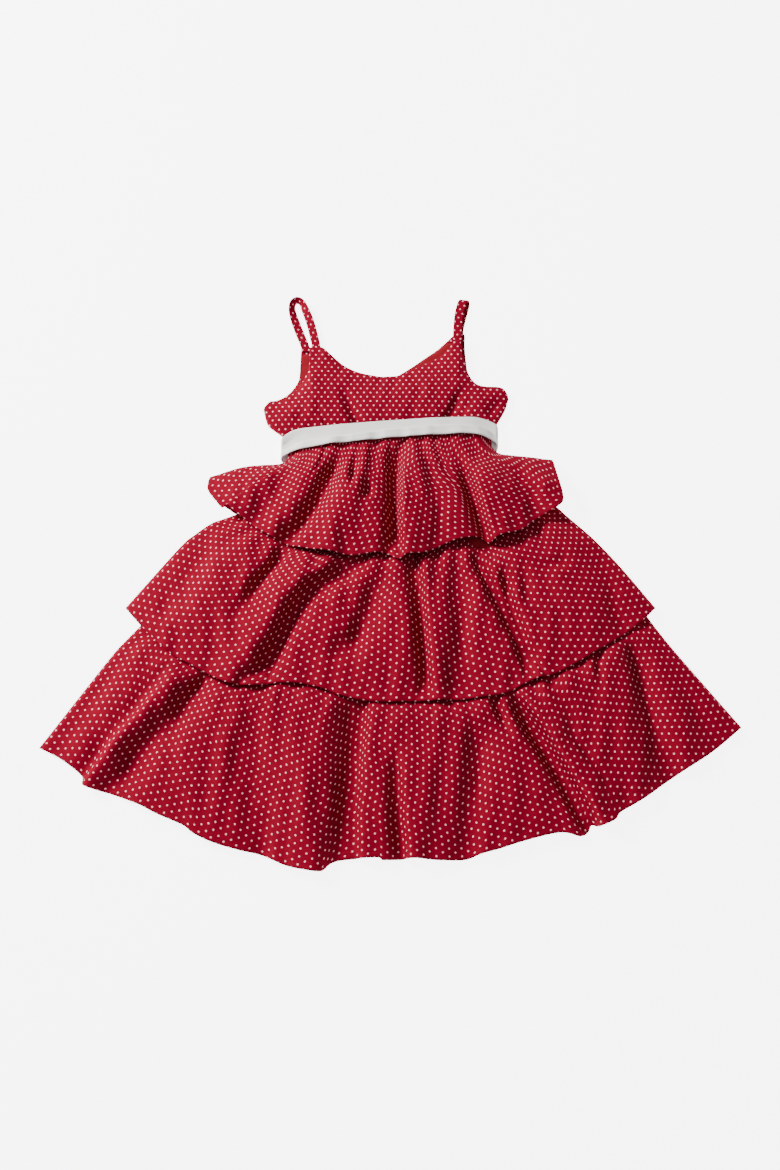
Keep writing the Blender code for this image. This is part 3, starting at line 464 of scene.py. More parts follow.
# Thin creases that only the cloth has, as in the table of folds.
CREASES = {
    "tier_1_front": (
        ("centre pleat line", ((4, 136), (6, 101), (8, 64), (11, 32)), -5.0, 7.0, 3.5, 0.3, 0.0),
        ("right pleat line", ((77, 131), (88, 111), (98, 83), (109, 55)), -5.0, 4.5, 4.0, 0.3, 0.0),
        ("left bend", ((-64, 139), (-65, 132), (-70, 127)), -4.0, 4.0, 4.0, 0.3, 0.4),
        ("small hook", ((-41, 132), (-43, 121), (-40, 108)), -5.0, 4.0, 4.0, 0.3, 0.4),
        ("second hook", ((-24, 120), (-25, 108), (-30, 92)), -3.0, 5.0, 5.0, 0.4, 0.4),
    ),
    "tier_2_front": (
        ("left deep crease", ((-118, 43), (-131, 21), (-150, 0), (-172, -22)), -5.0, 6.0, 6.0, 0.1, 0.6),
        (
            "right line one", ((96, 40), (118, -10), (139, -56), (153, -94), (160, -124)),
            -6.0, 4.5, 4.0, 0.1, 0.0,
        ),
        (
            "right line two", ((127, 20), (135, -18), (146, -56), (159, -94), (168, -118)),
            -6.5, 4.5, 4.0, 0.2, 0.0,
        ),
        ("centre line", ((34, 28), (38, -38), (42, -99), (45, -126)), -5.0, 4.0, 3.5, 0.1, 0.0),
        ("right wrinkle line", ((171, 14), (186, 16), (203, 25)), -3.0, 4.5, 4.5, 0.4, 0.4),
    ),
    "tier_3_front": (
        ("line below right crease", ((111, -131), (121, -147), (130, -169)), -5.0, 4.5, 4.0, 0.1, 0.5),
        (
            "diagonal line", ((140, -135), (171, -179), (182, -201), (205, -239), (224, -276)),
            -8.0, 5.5, 5.0, 0.3, 0.0,
        ),
        ("line beside diagonal", ((174, -110), (178, -122), (180, -132)), -4.0, 4.0, 4.0, 0.1, 0.5),
        (
            "soft line right", ((192, -152), (208, -186), (228, -213), (240, -235)),
            -3.0, 5.0, 5.0, 0.3, 0.4,
        ),
        (
            "right trough line", ((265, -62), (278, -102), (286, -137), (297, -186)),
            -4.0, 5.0, 6.0, 0.2, 0.4,
        ),
        ("thin right line", ((233, -82), (232, -97), (230, -112)), -4.0, 4.0, 4.0, 0.1, 0.4),
        ("soft line mid", ((103, -167), (100, -210), (93, -258)), -4.0, 7.0, 7.0, 0.4, 0.3),
        ("left pleat line", ((-202, -105), (-217, -123), (-234, -145)), -5.0, 5.0, 6.0, 0.1, 0.5),
        ("left short dark", ((-240, -86), (-252, -84), (-264, -91)), -4.0, 6.0, 6.0, 0.3, 0.4),
        (
            "second main line", ((-32, -137), (-25, -153), (-29, -179), (-36, -215)),
            -6.0, 7.0, 4.0, 0.1, 0.4,
        ),
        ("short line one", ((-119, -117), (-121, -133), (-125, -151)), -3.0, 5.0, 5.0, 0.1, 0.5),
        ("short line two", ((-163, -127), (-161, -139), (-161, -151)), -3.0, 6.0, 6.0, 0.1, 0.5),
    ),
}

# Puckers below each gathered line: how many, depth in millimetres, and reach as a share of the
# panel. Each has a width, depth and length of its own, so they read as loose and uneven.
PUCKERS = {
    "tier_1_front": (17, 5.2, 0.30),
    "tier_2_front": (25, 4.2, 0.20),
    "tier_3_front": (31, 4.4, 0.22),
}

# How much lower a tier's top lies where the tier above hides it, as a share of its height.
TUCKED_TOPS = {"tier_2_front": 0.55, "tier_3_front": 0.6}

# Soft unevenness: height, and length across and down in millimetres.
RIPPLES = {
    "tier_1_front": (0.9, 26.0, 60.0),
    "tier_2_front": (1.1, 30.0, 80.0),
    "tier_3_front": (1.2, 34.0, 90.0),
    "bodice_front": (0.5, 24.0, 30.0),
}


def smooth_step(share):
    """A ramp from nought to one that starts and ends level."""
    share = np.clip(share, 0.0, 1.0)
    return share * share * (3.0 - 2.0 * share)


def curve(table, count):
    """Points of a Catmull-Rom curve through the table's rows, spaced evenly by length in plan."""
    knots = np.asarray(table, float)
    ends = np.vstack([2 * knots[0] - knots[1], knots, 2 * knots[-1] - knots[-2]])
    steps = np.linspace(0.0, 1.0, 9)[:-1, None]
    spans = []
    for p0, p1, p2, p3 in zip(ends[:-3], ends[1:-2], ends[2:-1], ends[3:]):
        linear = (p2 - p0) * steps
        square = (2 * p0 - 5 * p1 + 4 * p2 - p3) * steps**2
        cube = (3 * p1 - p0 - 3 * p2 + p3) * steps**3
        spans.append(0.5 * (2 * p1 + linear + square + cube))
    fine = np.vstack(spans + [knots[-1:]])
    return spaced(fine, np.linspace(0.0, 1.0, count))


def spaced(line, shares):
    """Points of a polyline at the given shares of its length."""
    line = np.asarray(line, float)
    sides = np.linalg.norm(np.diff(line[:, :2], axis=0), axis=1)
    reach = np.concatenate([[0.0], np.cumsum(sides)])
    where = np.asarray(shares) * reach[-1]
    return np.column_stack([np.interp(where, reach, line[:, k]) for k in range(line.shape[1])])


def patch(panel):
    """Plan points of a panel, and each point's share of the way across and down.

    It is a Coons patch: the sum of the two ruled patches between opposite lines, less the one
    that the four corners alone would give.
    """
    across = np.linspace(0.0, 1.0, panel["columns"] + 1)
    down = np.linspace(0.0, 1.0, panel["rows"] + 1)
    top = spaced(panel["top"], across)
    hem = spaced(panel["hem"], across)
    if panel.get("upright"):
        low, high = top[0, 0], top[-1, 0]
        place = (top[:, 0] - low) / (high - low)
        hem = spaced(panel["hem"], place)
    left = curve(panel["left"], len(down))
    right = curve(panel["right"], len(down))
    u, v = np.meshgrid(across, down)
    u, v = u[..., None], v[..., None]
    ruled = (1 - v) * top[None] + v * hem[None] + (1 - u) * left[:, None] + u * right[:, None]
    corners = (1 - u) * (1 - v) * top[0] + u * (1 - v) * top[-1] + (1 - u) * v * hem[0] + u * v * hem[-1]
    plan = ruled - corners
    return plan[..., 0], plan[..., 1], u[..., 0], v[..., 0]


def fold_heights(x, y, folds):
    """Sum of the folds.

    Each is its height times a bell of the distance from its line, with a width for each side
    of the line, times a smooth ramp at each end over which it fades.
    """
    total = np.zeros(x.size)
    for _, table, height, west, east, fade_in, fade_out in folds:
        line = curve(table, 25)
        start, side = line[:-1], np.diff(line, axis=0)
        length = np.linalg.norm(side, axis=1)
        reach = np.concatenate([[0.0], np.cumsum(length)])
        off_x = x.reshape(-1, 1) - start[:, 0]
        off_y = y.reshape(-1, 1) - start[:, 1]
        share = np.clip((off_x * side[:, 0] + off_y * side[:, 1]) / length**2, 0.0, 1.0)
        off_x = off_x - share * side[:, 0]
        off_y = off_y - share * side[:, 1]
        square = off_x**2 + off_y**2
        near = square.argmin(axis=1)
        row = np.arange(x.size)
        turn = off_y[row, near] * side[near, 0] - off_x[row, near] * side[near, 1]
        width = np.maximum(np.where(turn > 0, east, west), LEAST_FOLD)
        place = (reach[near] + share[row, near] * length[near]) / reach[-1]
        fade = smooth_step(place / fade_in) if fade_in else 1.0
        if fade_out:
            fade = fade * smooth_step((1.0 - place) / fade_out)
        total += height * fade * np.exp(-square[row, near] / width**2)
    return total.reshape(x.shape)


def gather_heights(u, v, name):
    """Waves across the panel that fade below its top line, each a little unlike the next."""
    if name not in GATHERS:
        return np.zeros_like(u)
    count, height, reach = GATHERS[name]
    wander = 0.8 * np.sin(7.0 * u + 1.3) + 0.5 * np.sin(17.0 * u + 0.4)
    wave = np.sin(2 * math.pi * count * u + 2.2 * wander)
    return height * wave * np.exp(-((v / reach) ** 2))


def side_rise(panel, x, y, u):
    """Share of its height that a panel has: a quarter round at the side seams, then a sine slope."""
    width = np.hypot(x[:, -1] - x[:, 0], y[:, -1] - y[:, 0])[:, None]
    inward = np.minimum(u, 1 - u) * width
    edge = np.sqrt(1.0 - (1.0 - np.clip(inward / EDGE_ROUND, 0.0, 1.0)) ** 2)
    slope = np.sin(0.5 * math.pi * np.clip(inward / panel["run_in"], 0.0, 1.0))
    return EDGE_SHARE * edge + (1 - EDGE_SHARE) * slope


def panel_heights(name, x, y, u, v):
    """Height of a panel's underside before it is laid: level, folded, and let down at its sides."""
    panel = PANELS[name]
    top, middle, hem = panel["heights"]
    level = top * (1 - v) * (1 - 2 * v) + 4 * middle * v * (1 - v) + hem * v * (2 * v - 1)
    if level.any():
        level = level + fold_heights(x, y, FOLDS.get(name, ())) + gather_heights(u, v, name)
        level = SETTLE * np.logaddexp(0.0, level / SETTLE)
    return panel["side"] + (level - panel["side"]) * side_rise(panel, x, y, u)


def grid_triangles(rows, columns):
    """Triangles of a grid of points, two for each square."""
    first = (np.arange(rows)[:, None] * (columns + 1) + np.arange(columns)).ravel()
    after = first + columns + 1
    lower = np.column_stack([first, after, after + 1])
    upper = np.column_stack([first, after + 1, first + 1])
    return np.vstack([lower, upper])


class Pile:
    """The top of everything laid so far, as a map of heights in plan."""

    def __init__(self):
        shape = [int((high - low) / CELL) + 1 for low, high in zip(MAP_LOW, MAP_HIGH)]
        self.height = np.full(shape, -GAP)

    def cells(self, x, y):
        """Row and column of the map's cell at each point."""
        return (
            ((x - MAP_LOW[0]) / CELL).astype(int),
            ((y - MAP_LOW[1]) / CELL).astype(int),
        )

    def raise_to(self, x, y, z):
        """Raises the map to the points given."""
        np.maximum.at(self.height, self.cells(x, y), z)

    def around(self):
        """The map with every cell at the highest of its neighbours."""
        high = self.height.copy()
        for axis in (0, 1):
            before = np.roll(high, 1, axis)
            after = np.roll(high, -1, axis)
            high = np.maximum(high, np.maximum(before, after))
        return high


def weights_for(points, triangles):
    """Barycentric weights that put a test point every SAMPLE along the longest side."""
    sides = points[triangles] - points[np.roll(triangles, 1, axis=1)]
    steps = int(np.ceil(np.linalg.norm(sides, axis=2).max() / SAMPLE))
    a, b = np.meshgrid(np.arange(steps + 1), np.arange(steps + 1))
    inside = a + b <= steps
    a, b = a[inside] / steps, b[inside] / steps
    return np.column_stack([1 - a - b, a, b])


def lay(pile, x, y, low, triangles):
    """Lifts the points of a piece until every test point clears the pile."""
    points = np.column_stack([x.ravel(), y.ravel()])
    weights = weights_for(points, triangles)
    place = points[triangles]
    test_x = np.einsum("sk,mk->ms", weights, place[..., 0])
    test_y = np.einsum("sk,mk->ms", weights, place[..., 1])
    floor = pile.around()[pile.cells(test_x, test_y)] + GAP
    low = np.maximum(low.ravel(), 0.0)
    share = weights / (weights**2).sum(axis=1, keepdims=True)
    for _ in range(8):
        lack = floor - low[triangles] @ weights.T
        lack[lack < 1e-4] = 0.0
        if not lack.any():
            break
        lift = np.zeros_like(low)
        np.maximum.at(lift, triangles, (lack[:, :, None] * share[None]).max(axis=1))
        low = low + lift
    lack = (floor - low[triangles] @ weights.T).max(axis=1)
    lift = np.zeros_like(low)
    np.maximum.at(lift, triangles, np.maximum(lack, 0.0)[:, None])
    return low + lift, test_x, test_y, weights


def thickness(x, y, low, triangles, wall):
    """Upright thickness that gives the wall its size square to the slope, up to a steep slope."""
    points = np.column_stack([x.ravel(), y.ravel(), low])
    corners = points[triangles]
    normals = np.cross(corners[:, 1] - corners[:, 0], corners[:, 2] - corners[:, 0])
    normals *= np.sign(normals[:, 2:3])
    total = np.zeros_like(points)
    for k in range(3):
        np.add.at(total, triangles[:, k], normals)
    upright = total[:, 2] / np.linalg.norm(total, axis=1)
    return wall / np.maximum(upright, 0.5)


def edge_loops(rows, columns):
    """Points round a grid's border, in order."""
    grid = np.arange((rows + 1) * (columns + 1)).reshape(rows + 1, columns + 1)
    return np.concatenate([grid[:, 0], grid[-1, 1:], grid[-2::-1, -1], grid[0, -2:0:-1]])


def close_shell(low, high, triangles, border):
    """Faces of a closed shell: the upper points' triangles, the lower ones turned over, and a rim."""
    count = len(low)
    corners = low[triangles]
    upward = np.cross(corners[:, 1] - corners[:, 0], corners[:, 2] - corners[:, 0])[:, 2] > 0
    up = np.where(upward[:, None], triangles, triangles[:, ::-1])
    after = np.roll(border, -1)
    rim = np.vstack(
        [
            np.column_stack([border, after, after + count]),
            np.column_stack([border, after + count, border + count]),
        ]
    )
    plan = low[border]
    area = np.sum(plan[:, 0] * np.roll(plan[:, 1], -1) - np.roll(plan[:, 0], -1) * plan[:, 1])
    if area < 0:
        rim = rim[:, ::-1]
    return np.vstack([low, high]), np.vstack([up + count, up[:, ::-1], rim])


def strap_line(name, count):
    """Middle points of a strap, and at each the ways across it and square to its face."""
    rows = curve(STRAPS[name], count)
    centre = rows[:, :3]
    turn = np.radians(rows[:, 3])
    tilt = np.radians(rows[:, 4])
    across = np.column_stack(
        [np.cos(turn) * np.cos(tilt), np.sin(turn) * np.cos(tilt), np.sin(tilt)]
    )
    forward = np.gradient(centre, axis=0)
    forward -= (forward * across).sum(axis=1, keepdims=True) * across
    forward /= np.linalg.norm(forward, axis=1, keepdims=True)
    return centre, across, np.cross(across, forward)


def strap_sections(name):
    """Corners of the strap's cross-section at each station along its line."""
    centre, across, normal = strap_line(name, STRAP_STEPS + 1)
    half, deep = across * STRAP_WIDTH / 2, normal * STRAP_WALL / 2
    return np.stack(
        [centre - half - deep, centre + half - deep, centre + half + deep, centre - half + deep], axis=1
    )


def add_strap_end(pile, sections, stations):
    """Raises the pile to the part of a strap that another piece covers."""
    spread = np.linspace(0.0, 1.0, 19)[:, None]
    between = np.linspace(0.0, 1.0, 9)[:, None, None]
    for k in stations[:-1]:
        quad = sections[k] * (1 - between) + sections[k + 1] * between
        for i, j in ((0, 1), (3, 2)):
            points = quad[:, None, i] * (1 - spread) + quad[:, None, j] * spread
            points = points.reshape(-1, 3)
            pile.raise_to(points[:, 0], points[:, 1], points[:, 2])


def belt_rows(table, x, shares):
    """Plan y of the belt at each x, one column for each share of its width."""
    rows = np.asarray(table)
    lower = np.interp(x, rows[:, 0], rows[:, 1])[:, None]
    upper = np.interp(x, rows[:, 0], rows[:, 2])[:, None]
    return lower + (upper - lower) * shares


def add_belt_back(pile):
    """Raises the pile to the belt's back run, which lies on the surface."""
    x = np.arange(BELT_BACK[0][0], BELT_BACK[-1][0], 0.5)
    y = belt_rows(BELT_BACK, x, np.linspace(0.0, 1.0, 60))
    pile.raise_to(np.repeat(x[:, None], 60, axis=1), y, BELT_WALL)


def soft_noise(x, y, size_x, size_y, seed):
    """Sum of twelve plane waves of random direction, length and phase, near the size asked for."""
    draw = np.random.default_rng(seed)
    total = np.zeros_like(x)
    for _ in range(12):
        angle = draw.uniform(-0.6, 0.6)
        scale = draw.uniform(0.6, 1.6)
        phase = draw.uniform(0.0, 2 * math.pi)
        along = x * math.cos(angle) / size_x + y * math.sin(angle) / size_y
        total += np.sin(2 * math.pi * scale * along + phase)
    return total / 4.0


def pucker_heights(u, v, count, depth, reach):
    """Valleys below a gathered line, each with its own place, lean, width, depth and length.

    Each is a bell across its place, which moves with its lean on the way down, times a bell of
    the way down over its length. A little is added between the valleys to keep the mean.
    """
    draw = np.random.default_rng(count)
    total = np.zeros_like(u)
    for k in range(count):
        place = (k + 0.5 + draw.uniform(-0.42, 0.42)) / count
        lean = draw.uniform(-0.07, 0.07)
        strength = draw.uniform(0.0, 1.0) ** 1.3
        width = draw.uniform(0.15, 0.30) / count
        length = reach * (0.35 + 0.9 * strength)
        bell = np.exp(-(((u - place - lean * v) / width) ** 2))
        total += (0.3 - bell) * strength * np.exp(-((v / length) ** 2)) / (1.0 + 0.02 * count)
    return depth * total


def detail_heights(name, x, y, u, v):
    """Thin creases, small puckers that fade below the top line, and a soft unevenness all over."""
    total = fold_heights(x, y, CREASES.get(name, ()))
    if name in PUCKERS:
        total += pucker_heights(u, v, *PUCKERS[name])
    if name in RIPPLES:
        height, size_x, size_y = RIPPLES[name]
        edge = np.clip(np.minimum(u, 1 - u) * 12.0, 0.0, 1.0)
        total += height * edge * soft_noise(x, y, size_x, size_y, len(name))
    return total


def smoothed(values):
    """Each row as a quarter of the row before, half of itself and a quarter of the row after."""
    padded = np.vstack([values[:1], values, values[-1:]])
    return (padded[:-2] + 2 * padded[1:-1] + padded[2:]) / 4


def bridge(low, passes):
    """Cloth drawn tight: each point is raised to the smoothed line through it, again and again."""
    for _ in range(passes):
        low = np.maximum(low, smoothed(low))
    return low


def fine_panel(name):
    """The panel's table with smooth lines."""
    panel = dict(PANELS[name])
    for side in ("top", "hem", "left", "right"):
        panel[side] = curve(panel[side], 500)
    return panel


def cloth_uv(name, x, y, z):
    """Each point's place in the flat cloth, in metres: across from the middle, and up from the hem.

    Both are lengths over the cloth from point to point, smoothed with those beside them. The
    bodice and the base skirt are nearly flat, and there it is the place in plan.
    """
    if name.startswith(("bodice", "underskirt")):
        return x * MM, y * MM
    points = np.stack([x, y, z], axis=-1)
    across = np.linalg.norm(np.diff(points, axis=1), axis=2)
    reach = np.concatenate([np.zeros((len(across), 1)), np.cumsum(across, axis=1)], axis=1)
    share = reach / reach[:, -1:]
    for _ in range(ACROSS_PASSES):
        share = smoothed(share)
    cut = np.percentile(reach[:, -1], 90)
    up = np.linalg.norm(np.diff(points, axis=0), axis=2)
    rise = np.cumsum(up[::-1], axis=0)[::-1]
    rise = np.vstack([rise, np.zeros((1, rise.shape[1]))]).T
    for _ in range(UP_PASSES):
        rise = smoothed(rise)
    return (share - 0.5) * cut * MM, rise.T * MM


def add_mesh(name, points, faces, smooth, uv, material):
    """Adds a mesh from points in millimetres, with its place in the flat cloth as its UV map."""
    points = (np.asarray(points) - np.array([PLAN_SHIFT[0], PLAN_SHIFT[1], 0.0])) * MM
    faces = np.asarray(faces)
    mesh = bpy.data.meshes.new(name)
    mesh.vertices.add(len(points))
    mesh.vertices.foreach_set("co", points.astype(np.float32).ravel())
    mesh.loops.add(faces.size)
    mesh.loops.foreach_set("vertex_index", faces.astype(np.int32).ravel())
    mesh.polygons.add(len(faces))
    mesh.polygons.foreach_set("loop_start", np.arange(0, faces.size, faces.shape[1], dtype=np.int32))
    mesh.polygons.foreach_set("use_smooth", np.asarray(smooth, bool))
    mesh.update(calc_edges=True)
    layer = mesh.uv_layers.new(name="cloth")
    layer.data.foreach_set("uv", uv[faces.ravel()].astype(np.float32).ravel())
    mesh.materials.append(material)
    obj = bpy.data.objects.new(name, mesh)
    bpy.context.scene.collection.objects.link(obj)
    return obj


def wear(obj, node):
    """Ties a piece to the solid that it stands for."""
    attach(obj, "root")
    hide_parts(node)


def drape_panel(pile, name, material):
    """Lays one panel on the pile as in the solids, then makes the thin cloth of it."""
    panel = fine_panel(name)
    x, y, u, v = patch(panel)
    triangles = grid_triangles(panel["rows"], panel["columns"])
    design = panel_heights(name, x, y, u, v)
    design = design + detail_heights(name, x, y, u, v) * side_rise(panel, x, y, u)
    if name in TUCKED_TOPS:
        design = design * (1.0 - TUCKED_TOPS[name] * np.exp(-((v / TUCK_REACH) ** 2)))
    low, test_x, test_y, weights = lay(pile, x, y, design, triangles)
    if name.startswith("tier"):
        low = bridge(low.reshape(x.shape), TIER_PASSES).ravel()
    solid_top = low + thickness(x, y, low, triangles, WALL)
    pile.raise_to(test_x, test_y, solid_top[triangles] @ weights.T)
    uv_x, uv_y = cloth_uv(name, x, y, low.reshape(x.shape))
    cloth = thickness(x, y, low, triangles, CLOTH)
    if name.startswith("tier"):
        turned = smooth_step((HEM_TURN - uv_y / MM) / HEM_RAMP + 0.5)
        cloth = cloth + HEM_LIFT * turned.ravel()
    under = np.column_stack([x.ravel(), y.ravel(), low])
    over = np.column_stack([x.ravel(), y.ravel(), low + cloth])
    border = edge_loops(panel["rows"], panel["columns"])
    points, faces = close_shell(under, over, triangles, border)
    smooth = np.arange(len(faces)) < 2 * len(triangles)
    uv = np.column_stack([uv_x.ravel(), uv_y.ravel()])
    obj = add_mesh("cloth_" + name, points, faces, smooth, np.vstack([uv, uv]), material)
    wear(obj, name)


def tube_faces(rings, wide, closed):
    """Quads between neighbouring rings of points, and from the last to the first of a closed tube."""
    first = np.arange(rings if closed else rings - 1)[:, None] * wide
    after = (first + wide) % (rings * wide)
    here = np.arange(wide)
    beside = (here + 1) % wide
    quads = [first + here, first + beside, after + beside, after + here]
    return np.stack(quads, axis=-1).reshape(-1, 4)


def dress_strap(name, material):
    """A strap with a soft oblong section and its print along it.

    The section is a circle whose sine and cosine are raised to a power below one, stretched
    to the strap's width and thickness, and carried along the strap's line.
    """
    centre, across, normal = strap_line(name, STRAP_STATIONS)
    half, deep = STRAP_WIDTH / 2 - STRAP_EASE, STRAP_WALL / 2 - STRAP_EASE
    angle = (np.arange(STRAP_POINTS) + 0.5) * math.pi / (STRAP_POINTS / 2)
    side = np.sign(np.cos(angle)) * np.abs(np.cos(angle)) ** STRAP_SQUARE
    lift = np.sign(np.sin(angle)) * np.abs(np.sin(angle)) ** STRAP_SQUARE
    points = (
        centre[:, None]
        + half * side[None, :, None] * across[:, None]
        + deep * lift[None, :, None] * normal[:, None]
    )
    reach = np.concatenate([[0.0], np.cumsum(np.linalg.norm(np.diff(centre, axis=0), axis=1))])
    uv = np.zeros(points.shape[:2] + (2,))
    uv[..., 0] = half * side[None] * MM
    uv[..., 1] = reach[:, None] * MM
    corners = points.reshape(-1, 3)
    sides = tube_faces(STRAP_STATIONS, STRAP_POINTS, False)
    step = np.arange(STRAP_POINTS // 2 - 1)
    end = np.column_stack([step, step + 1, STRAP_POINTS - 2 - step, STRAP_POINTS - 1 - step])
    faces = np.vstack([sides, end[:, ::-1], end + (STRAP_STATIONS - 1) * STRAP_POINTS])
    if not turned_out(corners, sides):
        faces = faces[:, ::-1]
    obj = add_mesh("cloth_" + name, corners, faces, np.ones(len(faces)), uv.reshape(-1, 2), material)
    wear(obj, name)


def turned_out(points, faces):
    """Whether a tube's faces point outwards, from the sign of the volume that they close."""
    a, b, c = points[faces[:, 0]], points[faces[:, 1]], points[faces[:, 2]]
    d = points[faces[:, 3]]
    centre = points.mean(axis=0)
    volume = (np.cross(b - centre, c - centre) * (a - centre)).sum()
    volume += (np.cross(c - centre, d - centre) * (a - centre)).sum()
    return volume > 0


def belt_bend(x, front_y, back_y, low, share, way):
    """One station of the belt's round end, on a half circle between its two runs."""
    y = front_y * (1 - share) + back_y * share
    bow = math.sin(math.pi * share)
    fall = math.cos(math.pi * share)
    z = low * (0.5 + 0.5 * fall) + BELT_CLOTH * (0.5 - 0.5 * fall)
    return np.stack([x + way * 2.0 * bow, y, z], axis=-1)


def belt_inside(pile, shares):
    """The belt's inner face, a row a station: the front run, laid over the waist and drawn tight,
    the right end, the back run on the surface, and the left end."""
    left, right = BELT_FRONT[0][0] + BELT_INSET, BELT_FRONT[-1][0] - BELT_INSET
    x = np.linspace(left, right, BELT_COUNTS["front"])
    front_y = belt_rows(curve(BELT_FRONT, 200), x, shares)
    front_x = np.repeat(x[:, None], len(shares), axis=1)
    triangles = grid_triangles(len(x) - 1, len(shares) - 1)
    middle, end = BELT_CROWN
    crown = middle - (middle - end) * np.abs(2 * (front_x - x[0]) / (x[-1] - x[0]) - 1) ** 4
    low, _, _, _ = lay(pile, front_x, front_y, crown, triangles)
    low = bridge(low.reshape(front_x.shape), BELT_PASSES)
    low = low + 0.25 * soft_noise(front_x, front_y, 34.0, 50.0, 3)
    x = np.linspace(right, left, BELT_COUNTS["back"])
    back_y = belt_rows(BELT_BACK, x, shares)
    back_x = np.repeat(x[:, None], len(shares), axis=1)
    front = np.stack([front_x, front_y, low], axis=-1)
    back = np.stack([back_x, back_y, np.full(back_y.shape, BELT_CLOTH)], axis=-1)
    right_end = [
        belt_bend(front_x[-1], front_y[-1], back_y[0], low[-1], share, 1.0)
        for share in np.linspace(0.08, 0.92, BELT_COUNTS["end"])
    ]
    left_end = [
        belt_bend(front_x[0], front_y[0], back_y[-1], low[0], share, -1.0)
        for share in np.linspace(0.92, 0.08, BELT_COUNTS["end"])
    ]
    return np.concatenate([front, right_end, back, left_end])


def dress_belt(pile, material):
    """The belt: its inner face, and an outer one moved out by its thickness, less at its edges."""
    shares = np.linspace(0.0, 1.0, BELT_COUNTS["across"])
    inner = belt_inside(pile, shares)
    along = np.roll(inner, -1, axis=0) - np.roll(inner, 1, axis=0)
    out = np.stack([-along[..., 2], np.zeros_like(along[..., 0]), along[..., 0]], axis=-1)
    out /= np.linalg.norm(out, axis=-1, keepdims=True)
    edge = np.minimum(shares, 1 - shares) * BELT_WIDTH
    rounded = BELT_CLOTH * (0.55 + 0.45 * smooth_step(edge / 1.5))
    outer = inner + out * rounded[None, :, None]
    outer[..., 2] = np.maximum(outer[..., 2], 0.0)
    ring = np.concatenate([inner, outer[:, ::-1]], axis=1)
    step = np.linalg.norm(np.diff(inner[:, len(shares) // 2], axis=0), axis=1)
    reach = np.concatenate([[0.0], np.cumsum(step)])
    uv = np.zeros(ring.shape[:2] + (2,))
    uv[..., 0] = reach[:, None] * MM
    uv[..., 1] = np.concatenate([shares, shares[::-1]])[None] * BELT_WIDTH * MM
    corners = ring.reshape(-1, 3)
    faces = tube_faces(len(inner), ring.shape[1], True)
    across = corners[faces[0, 1]] - corners[faces[0, 0]]
    forward = corners[faces[0, 3]] - corners[faces[0, 0]]
    if np.cross(across, forward)[2] > 0:
        faces = faces[:, ::-1]
    obj = add_mesh("cloth_belt", corners, faces, np.ones(len(faces)), uv.reshape(-1, 2), material)
    wear(obj, "belt")


class Number:
    """A shader socket that holds a number, so that formulas read as arithmetic."""

    def __init__(self, tree, socket):
        self.tree = tree
        self.socket = socket

    def math(self, operation, *others):
        """Adds a Math node of this number and the others."""
        node = self.tree.nodes.new("ShaderNodeMath")
        node.operation = operation
        for place, value in enumerate((self, *others)):
            if isinstance(value, Number):
                self.tree.links.new(value.socket, node.inputs[place])
            else:
                node.inputs[place].default_value = value
        return Number(self.tree, node.outputs[0])

    def __add__(self, other):
        return self.math("ADD", other)

    def __sub__(self, other):
        return self.math("SUBTRACT", other)

    def __mul__(self, other):
        return self.math("MULTIPLY", other)

    def __truediv__(self, other):
        return self.math("DIVIDE", other)

    def __rsub__(self, other):
        return self.math("MULTIPLY_ADD", -1.0, other)

    __radd__ = __add__
    __rmul__ = __mul__

    def ramp(self, low, high):
        """Nought below low, one above high, and a smooth step between."""
        node = self.tree.nodes.new("ShaderNodeMapRange")
        node.interpolation_type = "SMOOTHSTEP"
        self.tree.links.new(self.socket, node.inputs["Value"])
        node.inputs["From Min"].default_value = low
        node.inputs["From Max"].default_value = high
        return Number(self.tree, node.outputs["Result"])


